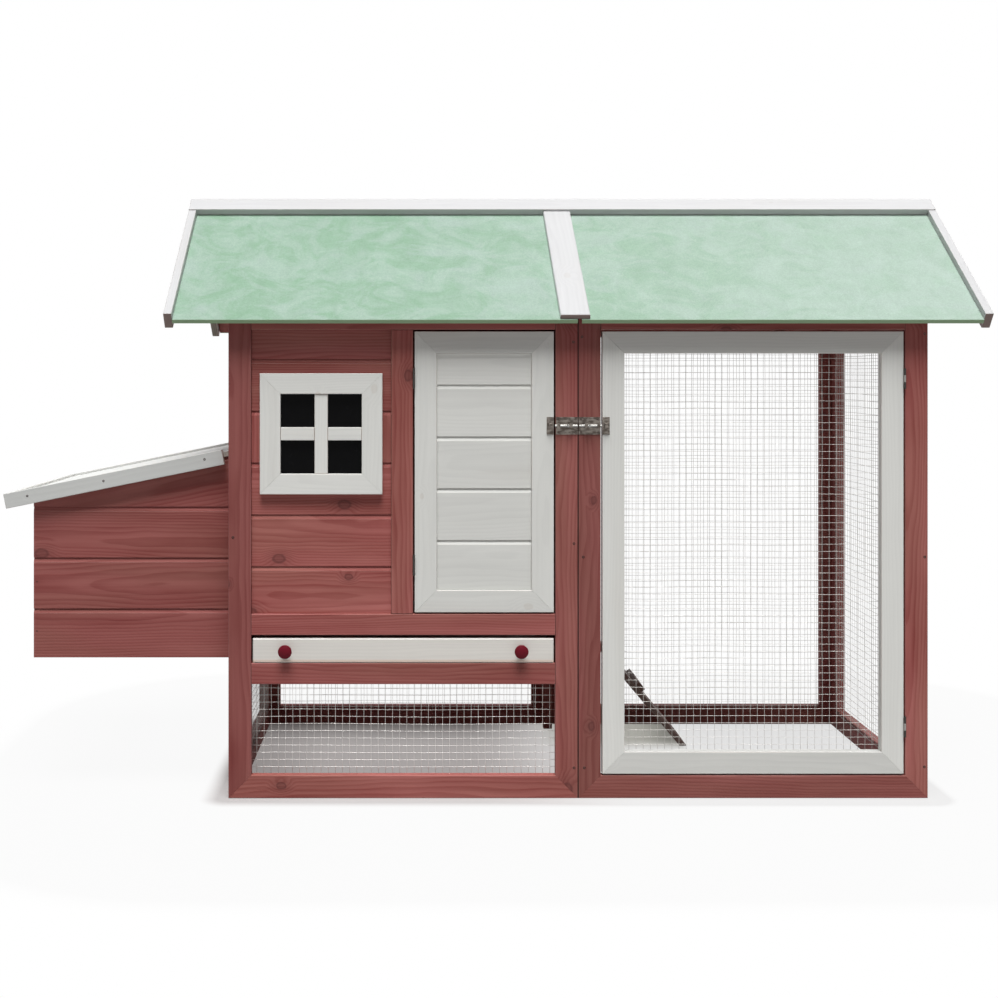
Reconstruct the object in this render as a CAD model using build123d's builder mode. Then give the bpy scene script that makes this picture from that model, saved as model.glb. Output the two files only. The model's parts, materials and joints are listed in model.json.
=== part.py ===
from build123d import *

import os
from math import ceil, cos, floor, radians, sin, tan

os.makedirs("parts", exist_ok=True)

# Wooden chicken coop: a boarded house and a mesh run side by side under one gable roof.
# Millimetres. X runs from the nest box to the run, Y from front to back, Z up from the ground.

# Modules and timber
house_w = 680.0
run_w = 680.0
body_d = 590.0
plate_h = 943.5
batten_w = 44.0
batten_t = 20.0
rail_w = 41.0
mullion_w = 42.0
head_rail_h = 32.5
joint_gap = 0.3

# Levels and bays of the house front
tray_level = 262.5
tray_slot_h = 54.5
window_bay_w = 273.0

# Tongue-and-groove boards
board_t = 10.0
board_pitch = 101.0
board_recess = 6.0
bevel_h = 9.0
bevel_d = 3.0
tongue_t = 3.4
tongue_h = 5.5
tongue_fit = 0.3
front_joint = 92.0
door_joint = 143.0
side_joint = 40.5
nest_joint = 97.0
gable_joint = 67.0

# Window
window_w = 238.0
window_h = 235.0
window_drop = 85.0
window_member_w = 40.0
window_t = 11.0
muntin_w = 25.5
muntin_t = 9.0
pane_t = 3.0
pane_lap = 6.0
pane_fit = 0.5

# Mesh panels, one strand for six wires of the welded mesh
net_pitch = 84.0
net_strand = 3.0
net_t = 1.5
net_lap = 10.0

# Roof
roof_pitch = 37.9
eave_overhang = 38.0
left_overhang = 120.5
right_overhang = 113.0
roof_board_t = 7.0
felt_t = 2.0
barge_w = 16.0
barge_h = 34.0
barge_proud = 12.0
felt_past = 3.5
roof_batten_w = 57.5
roof_batten_t = 9.5
roof_batten_round = 3.0
roof_batten_x = -9.0
roof_batten_lean = 6.5
roof_seam = 8.0
cap_w = 43.0
cap_t = 14.0
ridge_beam_t = 20.0
ridge_gap = 0.5

# Doors
door_gap = 3.2
door_member_w = 43.0
hinge_inset = 92.0

# Butt hinges
hinge_len = 40.0
leaf_w = 14.0
leaf_t = 1.1
barrel_r = 2.2
barrel_clear = 0.4
pin_r = 1.1
pin_fit = 0.05
knuckle_len = 13.4
knuckle_gap = 0.3

# Barrel bolts and keepers
bolt_level = 724.0
bolt_plate_w = 42.6
bolt_plate_h = 34.0
bolt_plate_t = 1.2
bolt_r = 3.0
bolt_len = 44.0
bolt_stand = 0.4
bolt_tip = 1.6
bolt_knob_r = 2.4
bolt_knob_len = 12.0
bolt_knob_clear = 0.6
strap_w = 6.0
strap_t = 1.2
strap_fit = 0.6
strap_inset = 5.0
strap_spread = 24.0
keeper_w = 13.7

# Dropping tray
tray_front_t = 18.0
tray_front_round = 2.0
tray_head_gap = 6.0
slide_gap = 0.4
pan_h = 30.0
pan_t = 1.2
pan_side_gap = 5.0
pan_end_gap = 14.0
knob_spread = 458.0
knob_r = 13.5
knob_stem_r = 7.0
knob_stem_len = 8.0
knob_head_len = 10.0
knob_crown = 3.0

# Nest box and its lid
nest_len = 393.5
nest_lap = 9.0
nest_floor_t = 10.0
nest_floor_lift = 2.0
nest_partition_t = 10.0
nest_partition_drop = 40.0
nest_way_w = 370.0
nest_way_courses = 3
lid_slope = 11.45
lid_axis_h = 676.0
lid_len = 455.0
lid_start = 6.0
lid_board_t = 11.0
lid_trim_w = 16.0
lid_trim_h = 29.5
lid_trim_proud = 5.0
lid_trim_start = 16.0
lid_side_gap = 3.0
lid_rest_gap = 0.4
lid_hinge_spread = 300.0
hinge_rail_drop = 8.5

# Pop hole and ramp
pop_w = 158.0
pop_courses = 2
ramp_slope = 50.0
ramp_w = 146.0
ramp_t = 12.0
ramp_inset = 1.0
ramp_axis_drop = 18.0
ramp_wall_gap = 1.0
ramp_foot_gap = 0.5
ramp_hinge_spread = 90.0
cleat_w = 20.0
cleat_h = 10.0
cleat_pitch = 165.0
cleat_count = 2

# Roost
perch_rise = 32.1
perch_y = 105.0
perch_w = 32.0
perch_round = 6.0
perch_fit = 0.3
bracket_t = 15.0
bracket_w = 60.0
bracket_h = 50.0

# Levels and faces worked out from the sizes above
half_d = body_d / 2
inner_d = half_d - batten_t
slot_top = tray_level + tray_slot_h
sill_level = slot_top + rail_w
head_level = plate_h - head_rail_h
mesh_top = tray_level - rail_w
side_top = plate_h - batten_w
window_level = head_level - window_drop - window_h
house_left = -house_w
mullion_left = house_left + batten_w + window_bay_w
mullion_right = mullion_left + mullion_w
hinge_stand = barrel_r + joint_gap
leaf_start = barrel_r + barrel_clear

# Roof lines: s runs down a slope from the apex of the underside, n stands square on it
slope_cos = cos(radians(roof_pitch))
slope_sin = sin(radians(roof_pitch))
slope_tan = tan(radians(roof_pitch))
apex_h = plate_h + half_d * slope_tan
roof_t = roof_board_t + felt_t
barge_top = roof_t + barge_proud
slope_len = (half_d + eave_overhang - barge_top * slope_sin) / slope_cos
felt_len = slope_len + felt_past
rafter_rise = batten_w / slope_cos

# The lid hangs on a pin beside the house wall; the part is centred between lid end and roof end
lid_cos = cos(radians(lid_slope))
lid_sin = sin(radians(lid_slope))
lid_axis_x = house_left - hinge_stand
lid_top = -hinge_stand
lid_under = lid_top - lid_board_t
lid_trim_top = lid_top + lid_trim_proud
lid_end_x = lid_axis_x - lid_len * lid_cos - lid_trim_top * lid_sin
roof_end_x = run_w + right_overhang
seam_x = -(lid_end_x + roof_end_x) / 2


def wall(side, offset):
    """Plane of a wall face: local x along the wall, local y up, normal outward."""
    if side == "front":
        return Plane(origin=(seam_x, offset, 0), x_dir=(1, 0, 0), z_dir=(0, -1, 0))
    if side == "back":
        return Plane(origin=(seam_x, offset, 0), x_dir=(-1, 0, 0), z_dir=(0, 1, 0))
    if side == "left":
        return Plane(origin=(seam_x + offset, 0, 0), x_dir=(0, -1, 0), z_dir=(-1, 0, 0))
    return Plane(origin=(seam_x + offset, 0, 0), x_dir=(0, 1, 0), z_dir=(1, 0, 0))


def span(x0, x1, z0, z1):
    return [(x0, z0), (x1, z0), (x1, z1), (x0, z1)]


def batten(plane, outline, depth=batten_t, bevel=None):
    """A flat piece cut to an outline, laid inward from the plane, its top cut by the roof if asked."""
    with BuildPart() as piece:
        with BuildSketch(plane):
            with BuildLine():
                Polyline(*outline, close=True)
            make_face()
        extrude(amount=-depth)
        if bevel:
            split(bisect_by=bevel, keep=Keep.BOTTOM)
    return piece.part


def along_x(outline, x0, x1):
    """A piece of constant section in Y and Z, run along the coop."""
    with BuildPart() as piece:
        with BuildSketch(Plane.YZ.offset(seam_x + x0)):
            with BuildLine():
                Polyline(*outline, close=True)
            make_face()
        extrude(amount=x1 - x0)
    return piece.part


def save(name, pieces):
    """Writes one node, a single piece or a group of separate pieces."""
    node = pieces[0] if len(pieces) == 1 else Compound(children=list(pieces))
    node.label = name
    export_step(node, f"parts/{name}.step")


def mitred_frame(plane, x0, x1, z0, z1, width, depth):
    """Two stiles and two rails with mitred corners."""
    g = joint_gap
    left = [(x0, z0 + g), (x0 + width, z0 + width + g), (x0 + width, z1 - width - g), (x0, z1 - g)]
    right = [(x1, z0 + g), (x1 - width, z0 + width + g), (x1 - width, z1 - width - g), (x1, z1 - g)]
    low = [(x0, z0), (x1, z0), (x1 - width, z0 + width), (x0 + width, z0 + width)]
    high = [(x0, z1), (x1, z1), (x1 - width, z1 - width), (x0 + width, z1 - width)]
    return [batten(plane, outline, depth) for outline in (left, right, low, high)]


def mitred_post(plane, x_out, x_in, bevel):
    """A post with its foot mitred onto the bottom rail and its head cut to the roof slope."""
    head = plate_h + batten_t * slope_tan
    rise = abs(x_in - x_out) + joint_gap
    outline = [(x_out, joint_gap), (x_in, rise), (x_in, head), (x_out, head)]
    return batten(plane, outline, bevel=bevel)


def mitred_sill(plane, x0, x1):
    return batten(plane, [(x0, 0), (x1, 0), (x1 - batten_w, batten_w), (x0 + batten_w, batten_w)])


def rail(plane, x0, x1, z0, z1, bevel=None):
    """A rail between two uprights, with a hair joint at each end."""
    return batten(plane, span(x0 + joint_gap, x1 - joint_gap, z0, z1), bevel=bevel)


def head_rail(plane, x0, x1, bevel):
    return rail(plane, x0, x1, head_level, plate_h + batten_t * slope_tan, bevel)


def board_section(low, high):
    """Section of one board, depth behind its face against height, with tongue and groove."""
    foot = low + joint_gap
    tongue_in = (board_t - tongue_t) / 2
    tongue_out = (board_t + tongue_t) / 2
    slot_in = tongue_in - tongue_fit
    slot_out = tongue_out + tongue_fit
    slot_top_h = foot + tongue_h + tongue_fit
    face = [(0, foot), (0, high - bevel_h), (bevel_d, high)]
    tongue = [(tongue_in, high + tongue_h), (tongue_out, high + tongue_h), (tongue_out, high)]
    back = [(board_t, high), (board_t, foot)]
    slot = [(slot_out, foot), (slot_out, slot_top_h), (slot_in, slot_top_h), (slot_in, foot)]
    return face + [(tongue_in, high)] + tongue + back + slot


def cladding(plane, outline, datum, ways=()):
    """Horizontal boards that fill an outline on a wall plane, with ways cut through them."""
    x0 = min(x for x, z in outline)
    x1 = max(x for x, z in outline)
    z0 = min(z for x, z in outline)
    z1 = max(z for x, z in outline)
    section_plane = Plane(
        origin=plane.from_local_coords((x0, 0, 0)), x_dir=-plane.z_dir, z_dir=plane.x_dir
    )
    boards = []
    for course in range(floor((z0 - datum) / board_pitch), ceil((z1 - datum) / board_pitch)):
        low = datum + course * board_pitch
        with BuildPart() as board:
            with BuildSketch(section_plane):
                with BuildLine():
                    Polyline(*board_section(low, low + board_pitch), close=True)
                make_face()
            extrude(amount=x1 - x0)
            with BuildSketch(plane):
                with BuildLine():
                    Polyline(*outline, close=True)
                make_face()
            extrude(amount=-board_t, mode=Mode.INTERSECT)
            for way in ways:
                with BuildSketch(plane):
                    with BuildLine():
                        Polyline(*way, close=True)
                    make_face()
                extrude(amount=-board_t, mode=Mode.SUBTRACT)
        boards += board.part.solids()
    return boards


def net(plane, x0, x1, z0, z1):
    """A welded mesh panel over an opening, lapped onto the frame round it."""
    columns = round((x1 - x0) / net_pitch)
    rows = round((z1 - z0) / net_pitch)
    pitch_x = (x1 - x0) / columns
    pitch_z = (z1 - z0) / rows
    with BuildPart() as panel:
        with BuildSketch(plane):
            with Locations(((x0 + x1) / 2, (z0 + z1) / 2)):
                Rectangle(x1 - x0 + 2 * net_lap, z1 - z0 + 2 * net_lap)
                with GridLocations(pitch_x, pitch_z, columns, rows):
                    Rectangle(pitch_x - net_strand, pitch_z - net_strand, mode=Mode.SUBTRACT)
        extrude(amount=-net_t)
    return panel.part


def roof_point(side, s, n):
    """Y and Z of a point s down the slope and n square off it, front side -1 or back side 1."""
    return (side * (s * slope_cos + n * slope_sin), apex_h - s * slope_sin + n * slope_cos)


def leaf_with_knuckles(plane, middle, knuckles):
    """The plate of a leaf and the barrel at its edge, on a plane square to the pin."""
    with BuildPart() as leaf:
        with BuildSketch(plane.offset(-hinge_len / 2)):
            with Locations((leaf_start + leaf_w / 2, middle)):
                Rectangle(leaf_w, leaf_t)
        extrude(amount=hinge_len)
        for low, high in knuckles:
            with BuildSketch(plane.offset(low)):
                Circle(barrel_r)
                with Locations((leaf_start / 2, middle)):
                    Rectangle(leaf_start, leaf_t)
            extrude(amount=high - low)
    return leaf.part


def moving_leaf(pin, direction, axis, side, mount):
    """A moving leaf: its back lies mount from the pin, its middle knuckle turns on the pin."""
    plane = Plane(origin=pin, x_dir=direction, z_dir=axis)
    leaf = leaf_with_knuckles(plane, side * (mount - leaf_t / 2), middle_knuckle)
    with BuildPart() as bored:
        add(leaf)
        with BuildSketch(plane.offset(-hinge_len / 2)):
            Circle(pin_r + pin_fit)
        extrude(amount=hinge_len, mode=Mode.SUBTRACT)
    return bored.part


def fixed_leaf(pin, direction, axis, side, mount):
    """A fixed leaf with the pin riveted into its two end knuckles."""
    plane = Plane(origin=pin, x_dir=direction, z_dir=axis)
    leaf = leaf_with_knuckles(plane, side * (mount - leaf_t / 2), end_knuckles)
    with BuildPart() as pinned:
        add(leaf)
        with BuildSketch(plane.offset(-hinge_len / 2)):
            Circle(pin_r)
        extrude(amount=hinge_len)
    return pinned.part


middle_knuckle = [(-knuckle_len / 2, knuckle_len / 2)]
end_knuckles = [
    (-hinge_len / 2, -knuckle_len / 2 - knuckle_gap),
    (knuckle_len / 2 + knuckle_gap, hinge_len / 2),
]
roof_under = {
    side: Plane(
        origin=(0, 0, apex_h), x_dir=(1, 0, 0), z_dir=(0, side * slope_sin, slope_cos)
    )
    for side in (-1, 1)
}

# House front frame
front = wall("front", -half_d)
save(
    "house_front_posts",
    [
        mitred_post(front, house_left, house_left + batten_w, roof_under[-1]),
        mitred_post(front, 0, -batten_w, roof_under[-1]),
    ],
)
bay_left = house_left + batten_w
bay_right = -batten_w
save(
    "house_front_rails",
    [mitred_sill(front, house_left, 0), head_rail(front, bay_left, bay_right, roof_under[-1])],
)
save(
    "tray_rails",
    [
        rail(front, bay_left, bay_right, mesh_top, tray_level),
        rail(front, bay_left, bay_right, slot_top, sill_level),
    ],
)
mullion_top = head_level - joint_gap
mullion_foot = sill_level + joint_gap
save(
    "house_front_mullion",
    [batten(front, span(mullion_left, mullion_right, mullion_foot, mullion_top))],
)

# Window in the boarded bay
window_x = bay_left + window_bay_w / 2
window_z = window_level + window_h / 2
sight_w = window_w - 2 * window_member_w
sight_h = window_h - 2 * window_member_w
pane_w = sight_w + 2 * pane_lap
pane_h = sight_h + 2 * pane_lap
window_way = span(
    window_x - pane_w / 2 - pane_fit,
    window_x + pane_w / 2 + pane_fit,
    window_z - pane_h / 2 - pane_fit,
    window_z + pane_h / 2 + pane_fit,
)
board_datum = sill_level + front_joint
front_boards = wall("front", -half_d + board_recess)
window_bay = span(bay_left + joint_gap, mullion_left - joint_gap, mullion_foot, mullion_top)
save("house_front_boards", cladding(front_boards, window_bay, board_datum, [window_way]))
window_face = wall("front", -half_d + board_recess - window_t)
save(
    "window_frame",
    mitred_frame(
        window_face,
        window_x - window_w / 2,
        window_x + window_w / 2,
        window_level,
        window_level + window_h,
        window_member_w,
        window_t,
    ),
)
muntin_face = wall("front", -half_d + board_recess - muntin_t)
sight_left = window_x - sight_w / 2 + joint_gap
sight_right = window_x + sight_w / 2 - joint_gap
sight_low = window_z - sight_h / 2 + joint_gap
sight_high = window_z + sight_h / 2 - joint_gap
muntin_left = window_x - muntin_w / 2
muntin_right = window_x + muntin_w / 2
cross_low = window_z - muntin_w / 2
cross_high = window_z + muntin_w / 2
save(
    "window_muntins",
    [
        batten(muntin_face, span(muntin_left, muntin_right, sight_low, sight_high), muntin_t),
        batten(
            muntin_face,
            span(sight_left, muntin_left - joint_gap, cross_low, cross_high),
            muntin_t,
        ),
        batten(
            muntin_face,
            span(muntin_right + joint_gap, sight_right, cross_low, cross_high),
            muntin_t,
        ),
    ],
)
with BuildPart() as window_pane:
    with BuildSketch(front_boards):
        with Locations((window_x, window_z)):
            Rectangle(pane_w, pane_h)
    extrude(amount=-pane_t)
save("window_pane", [window_pane.part])
front_inside = wall("front", -inner_d)
save("house_front_mesh", [net(front_inside, bay_left, bay_right, batten_w, mesh_top)])

# House back
back_inside = wall("front", inner_d)
back_bevel = roof_under[1]
save(
    "house_back_frame",
    [
        mitred_post(back_inside, house_left, house_left + batten_w, back_bevel),
        mitred_post(back_inside, 0, -batten_w, back_bevel),
        mitred_sill(back_inside, house_left, 0),
        rail(back_inside, bay_left, bay_right, mesh_top, tray_level),
        head_rail(back_inside, bay_left, bay_right, back_bevel),
    ],
)
back_boards = wall("back", half_d - board_recess)
back_bay = span(
    -bay_right + joint_gap, -bay_left - joint_gap, tray_level + joint_gap, mullion_top
)
save("house_back_boards", cladding(back_boards, back_bay, board_datum))
back_net = wall("front", inner_d - net_t)
save("house_back_mesh", [net(back_net, bay_left, bay_right, batten_w, mesh_top)])

# Left end of the house, with the hinge rail of the nest lid and the way into the nest
stile_in = inner_d - batten_w
stile_end = inner_d - joint_gap
left_end = wall("left", house_left)
hinge_rail_low = lid_axis_h - hinge_rail_drop
hinge_rail_high = hinge_rail_low + rail_w
save(
    "house_side_frame",
    [
        batten(left_end, span(-stile_end, -stile_in, 0, plate_h)),
        batten(left_end, span(stile_in, stile_end, 0, plate_h)),
        rail(left_end, -stile_in, stile_in, 0, batten_w),
        rail(left_end, -stile_in, stile_in, mesh_top, tray_level),
        rail(left_end, -stile_in, stile_in, hinge_rail_low, hinge_rail_high),
        rail(left_end, -stile_in, stile_in, side_top, plate_h),
    ],
)
left_boards = wall("left", house_left + board_recess)
side_datum = tray_level + side_joint
clad_in = stile_in - joint_gap
nest_way_top = side_datum + nest_way_courses * board_pitch
nest_way = span(-nest_way_w / 2, nest_way_w / 2, side_datum, nest_way_top)
low_bay = span(-clad_in, clad_in, tray_level + joint_gap, hinge_rail_low - joint_gap)
high_bay = span(-clad_in, clad_in, hinge_rail_high + joint_gap, side_top - joint_gap)
save(
    "house_side_boards",
    cladding(left_boards, low_bay, side_datum, [nest_way])
    + cladding(left_boards, high_bay, side_datum),
)
left_inside = wall("left", house_left + batten_t)
save("house_side_mesh", [net(left_inside, -stile_in, stile_in, batten_w, mesh_top)])

# Divider between house and run, open below, with the pop hole beside its rear stile
divider = wall("right", 0)
save(
    "divider_frame",
    [
        batten(divider, span(-stile_end, -stile_in, 0, plate_h)),
        batten(divider, span(stile_in, stile_end, 0, plate_h)),
        rail(divider, -stile_in, stile_in, mesh_top, tray_level),
        rail(divider, -stile_in, stile_in, slot_top, sill_level),
        rail(divider, -stile_in, stile_in, side_top, plate_h),
    ],
)
divider_boards = wall("right", -board_recess)
pop_top = board_datum + pop_courses * board_pitch
pop_hole = span(stile_in - pop_w, stile_in, sill_level, pop_top)
skirt_bay = span(-clad_in, clad_in, tray_level + joint_gap, slot_top - joint_gap)
upper_bay = span(-clad_in, clad_in, sill_level + joint_gap, side_top - joint_gap)
save(
    "divider_boards",
    cladding(divider_boards, skirt_bay, tray_level)
    + cladding(divider_boards, upper_bay, board_datum, [pop_hole]),
)

# Run frames and mesh
run_left = batten_w
run_right = run_w - batten_w
save(
    "run_front_frame",
    [
        mitred_post(front, 0, batten_w, roof_under[-1]),
        mitred_post(front, run_w, run_right, roof_under[-1]),
        mitred_sill(front, 0, run_w),
        head_rail(front, run_left, run_right, roof_under[-1]),
    ],
)
save(
    "run_back_frame",
    [
        mitred_post(back_inside, 0, batten_w, back_bevel),
        mitred_post(back_inside, run_w, run_right, back_bevel),
        mitred_sill(back_inside, 0, run_w),
        head_rail(back_inside, run_left, run_right, back_bevel),
    ],
)
save("run_back_mesh", [net(back_net, run_left, run_right, batten_w, head_level)])
right_end = wall("right", run_w)
save(
    "run_side_frame",
    [
        batten(right_end, span(-stile_end, -stile_in, 0, plate_h)),
        batten(right_end, span(stile_in, stile_end, 0, plate_h)),
        rail(right_end, -stile_in, stile_in, 0, batten_w),
        rail(right_end, -stile_in, stile_in, side_top, plate_h),
    ],
)
right_inside = wall("right", run_w - batten_t)
save("run_side_mesh", [net(right_inside, -stile_in, stile_in, batten_w, side_top)])

# Gables: rafters from the side walls up to the ridge beam, boards between them
beam_half = ridge_beam_t / 2
beam_low = apex_h - rafter_rise - beam_half * slope_tan
gable_foot = plate_h + joint_gap
rafter_foot_y = half_d - (gable_foot + rafter_rise - plate_h) / slope_tan


def rafter(plane, side):
    """Rafter of one slope, between the plate and the ridge beam."""
    eave = inner_d - joint_gap
    ridge = beam_half + joint_gap
    outline = [
        (side * eave, gable_foot),
        (side * eave, apex_h - eave * slope_tan),
        (side * ridge, apex_h - ridge * slope_tan),
        (side * ridge, apex_h - ridge * slope_tan - rafter_rise),
        (side * rafter_foot_y, gable_foot),
    ]
    return batten(plane, outline)


gable_clear = joint_gap / slope_sin
gable_outline = [
    (-rafter_foot_y + gable_clear, gable_foot),
    (rafter_foot_y - gable_clear, gable_foot),
    (beam_half, beam_low - joint_gap),
    (-beam_half, beam_low - joint_gap),
]
gable_datum = plate_h + gable_joint
gable_ends = [left_end, divider, right_end]
gable_faces = [left_boards, divider_boards, wall("right", run_w - board_recess)]
save("gable_rafters", [rafter(plane, side) for plane in gable_ends for side in (-1, 1)])
gable_boards = []
for face in gable_faces:
    gable_boards += cladding(face, gable_outline, gable_datum)
save("gable_boards", gable_boards)
beam_shoulder = apex_h - beam_half * slope_tan
save(
    "ridge_beam",
    [
        along_x(
            [
                (-beam_half, beam_low),
                (beam_half, beam_low),
                (beam_half, beam_shoulder),
                (0, apex_h),
                (-beam_half, beam_shoulder),
            ],
            house_left,
            run_w,
        )
    ],
)

# Roof covering: boards, felt turned down over the eaves, barge boards, joint battens, ridge caps
roof_left = house_left - left_overhang
roof_right = roof_end_x
roof_runs = [
    (roof_left + barge_w + joint_gap, -roof_seam / 2),
    (roof_seam / 2, roof_right - barge_w - joint_gap),
]


def roof_boards(side, x0, x1):
    outline = [(ridge_gap, 0), (felt_len - felt_t, 0), (felt_len - felt_t, roof_board_t)]
    outline.append((ridge_gap, roof_board_t))
    return along_x([roof_point(side, s, n) for s, n in outline], x0, x1)


def roof_felt(side, x0, x1):
    outline = [
        (ridge_gap, roof_board_t),
        (felt_len - felt_t, roof_board_t),
        (felt_len - felt_t, 0),
        (felt_len, 0),
        (felt_len, roof_t),
        (ridge_gap, roof_t),
    ]
    return along_x([roof_point(side, s, n) for s, n in outline], x0, x1)


save("roof_boards", [roof_boards(side, *run) for run in roof_runs for side in (-1, 1)])
save("roof_felt", [roof_felt(side, *run) for run in roof_runs for side in (-1, 1)])


def mitre_s(n):
    """Where a piece at height n off the slope meets the upright plane through the ridge."""
    return (joint_gap / 2 - n * slope_sin) / slope_cos


cap_top = roof_t + cap_t
cap_edge = mitre_s(cap_top) + cap_w
under_cap = cap_edge + joint_gap


def barge_board(side, x0):
    """End board of a slope, notched under the ridge cap."""
    low = barge_top - barge_h
    outline = [
        (under_cap, barge_top),
        (slope_len, barge_top),
        (slope_len, low),
        (mitre_s(low), low),
        (mitre_s(roof_t), roof_t),
        (under_cap, roof_t),
    ]
    return along_x([roof_point(side, s, n) for s, n in outline], x0, x0 + barge_w)


def roof_batten(side):
    """Batten over the joint of the two modules, leaning a little, its long edges rounded."""
    half = roof_batten_w / 2
    eave_x = seam_x + roof_batten_x
    ridge_x = eave_x - roof_batten_lean
    outline = [
        (ridge_x - half, side * under_cap),
        (ridge_x + half, side * under_cap),
        (eave_x + half, side * slope_len),
        (eave_x - half, side * slope_len),
    ]
    with BuildPart() as strip:
        with BuildSketch(roof_under[side].offset(roof_t)):
            with BuildLine():
                Polyline(*outline, close=True)
            make_face()
        extrude(amount=roof_batten_t)
        top = strip.faces().sort_by(Axis((0, 0, 0), roof_under[side].z_dir))[-1]
        fillet(top.edges().sort_by(Axis.Z)[:-1], radius=roof_batten_round)
    return strip.part


def ridge_cap(side):
    outline = [
        (mitre_s(roof_t), roof_t),
        (cap_edge, roof_t),
        (cap_edge, cap_top),
        (mitre_s(cap_top), cap_top),
    ]
    points = [roof_point(side, s, n) for s, n in outline]
    return along_x(points, roof_left, roof_right)


save(
    "barge_boards",
    [barge_board(side, x) for x in (roof_left, roof_right - barge_w) for side in (-1, 1)],
)
save("roof_joint_battens", [roof_batten(side) for side in (-1, 1)])
save("ridge_caps", [ridge_cap(side) for side in (-1, 1)])

# Nest box: its side walls lap the end wall, and all their tops follow the lid
nest_out = house_left - nest_len
nest_half = stile_in + nest_lap
nest_bottom = tray_level


def lid_height(x, drop):
    """Height at x of a face that lies drop below the lid pin, square to the lid."""
    run = (lid_axis_x - x + drop * lid_sin) / lid_cos
    return lid_axis_h - drop * lid_cos - run * lid_sin


wall_drop = -lid_under + lid_rest_gap
nest_side_outline = [
    (nest_out, nest_bottom),
    (house_left - joint_gap, nest_bottom),
    (house_left - joint_gap, lid_height(house_left - joint_gap, wall_drop)),
    (nest_out, lid_height(nest_out, wall_drop)),
]
nest_datum = nest_bottom + nest_joint
nest_front = wall("front", -nest_half)
nest_back = wall("back", nest_half)
nest_back_outline = [(-x, z) for x, z in nest_side_outline]
save(
    "nest_side_walls",
    cladding(nest_front, nest_side_outline, nest_datum)
    + cladding(nest_back, nest_back_outline, nest_datum),
)
nest_in = nest_half - board_t - joint_gap
nest_end_top = lid_height(nest_out, wall_drop)
save(
    "nest_end_wall",
    cladding(wall("left", nest_out), span(-nest_in, nest_in, nest_bottom, nest_end_top), nest_datum),
)
nest_end_in = nest_out + board_t + joint_gap
nest_wall_in = house_left + board_recess - joint_gap
nest_floor_low = nest_bottom + nest_floor_lift
nest_floor_top = nest_floor_low + nest_floor_t
with BuildPart() as nest_floor:
    with BuildSketch(Plane.XY.offset(nest_floor_low)):
        with Locations((seam_x + (nest_end_in + nest_wall_in) / 2, 0)):
            Rectangle(nest_wall_in - nest_end_in, 2 * nest_in)
    extrude(amount=nest_floor_t)
save("nest_floor", [nest_floor.part])
partition_drop = wall_drop + nest_partition_drop
partition_right = house_left - joint_gap
save(
    "nest_partition",
    [
        batten(
            wall("front", -nest_partition_t / 2),
            [
                (nest_end_in, nest_floor_top + joint_gap),
                (partition_right, nest_floor_top + joint_gap),
                (partition_right, lid_height(partition_right, partition_drop)),
                (nest_end_in, lid_height(nest_end_in, partition_drop)),
            ],
            nest_partition_t,
        )
    ],
)

# Nest lid, drawn on a plane through its pin: local x runs out along the lid
lid_pin = (seam_x + lid_axis_x, 0, lid_axis_h)
lid_plane = Plane(origin=lid_pin, x_dir=(-lid_cos, 0, -lid_sin), z_dir=(-lid_sin, 0, lid_cos))
lid_inner_w = 2 * (nest_half + lid_side_gap)
lid_end = lid_len - lid_trim_w - joint_gap


def lid_trim(x0, x1, y0, y1):
    with BuildPart() as trim:
        with BuildSketch(lid_plane.offset(lid_trim_top - lid_trim_h)):
            with Locations(((x0 + x1) / 2, (y0 + y1) / 2)):
                Rectangle(x1 - x0, y1 - y0)
        extrude(amount=lid_trim_h)
    return trim.part


trim_in = lid_inner_w / 2
trim_out = trim_in + lid_trim_w
with BuildPart() as lid_board:
    with BuildSketch(lid_plane.offset(lid_under)):
        with Locations(((lid_start + lid_end) / 2, 0)):
            Rectangle(lid_end - lid_start, lid_inner_w - 2 * joint_gap)
    extrude(amount=lid_board_t)
save("nest_lid_board", [lid_board.part])
save(
    "nest_lid_trims",
    [
        lid_trim(lid_trim_start, lid_len, -trim_out, -trim_in),
        lid_trim(lid_trim_start, lid_len, trim_in, trim_out),
        lid_trim(lid_len - lid_trim_w, lid_len, joint_gap - trim_in, trim_in - joint_gap),
    ],
)

# Doors
door_low = sill_level + door_gap
door_high = head_level - door_gap
door_left = mullion_right + door_gap
door_right = bay_right - door_gap
run_door_left = run_left + door_gap
run_door_right = run_right - door_gap
run_door_low = batten_w + door_gap
save(
    "house_door_frame",
    mitred_frame(front, door_left, door_right, door_low, door_high, door_member_w, batten_t),
)
panel_margin = door_member_w + joint_gap
door_panel = span(
    door_left + panel_margin,
    door_right - panel_margin,
    door_low + panel_margin,
    door_high - panel_margin,
)
save("house_door_boards", cladding(front_boards, door_panel, sill_level + door_joint))
save(
    "run_door_frame",
    mitred_frame(
        front, run_door_left, run_door_right, run_door_low, door_high, door_member_w, batten_t
    ),
)
save(
    "run_door_mesh",
    [
        net(
            front_inside,
            run_door_left + door_member_w,
            run_door_right - door_member_w,
            run_door_low + door_member_w,
            door_high - door_member_w,
        )
    ],
)

# Ramp below the pop hole, hung on the face of the sill rail
ramp_cos = cos(radians(ramp_slope))
ramp_sin = sin(radians(ramp_slope))
ramp_axis_x = hinge_stand
ramp_axis_h = sill_level - ramp_axis_drop
ramp_back = stile_in - ramp_inset
ramp_y = ramp_back - ramp_w / 2
ramp_under = hinge_stand + ramp_t


def ramp_at_wall(drop):
    """Point where a face drop below the pin meets the upright cut beside the sill rail."""
    run = (ramp_wall_gap - ramp_axis_x + drop * ramp_sin) / ramp_cos
    return (ramp_wall_gap, ramp_axis_h - drop * ramp_cos - run * ramp_sin)


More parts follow.
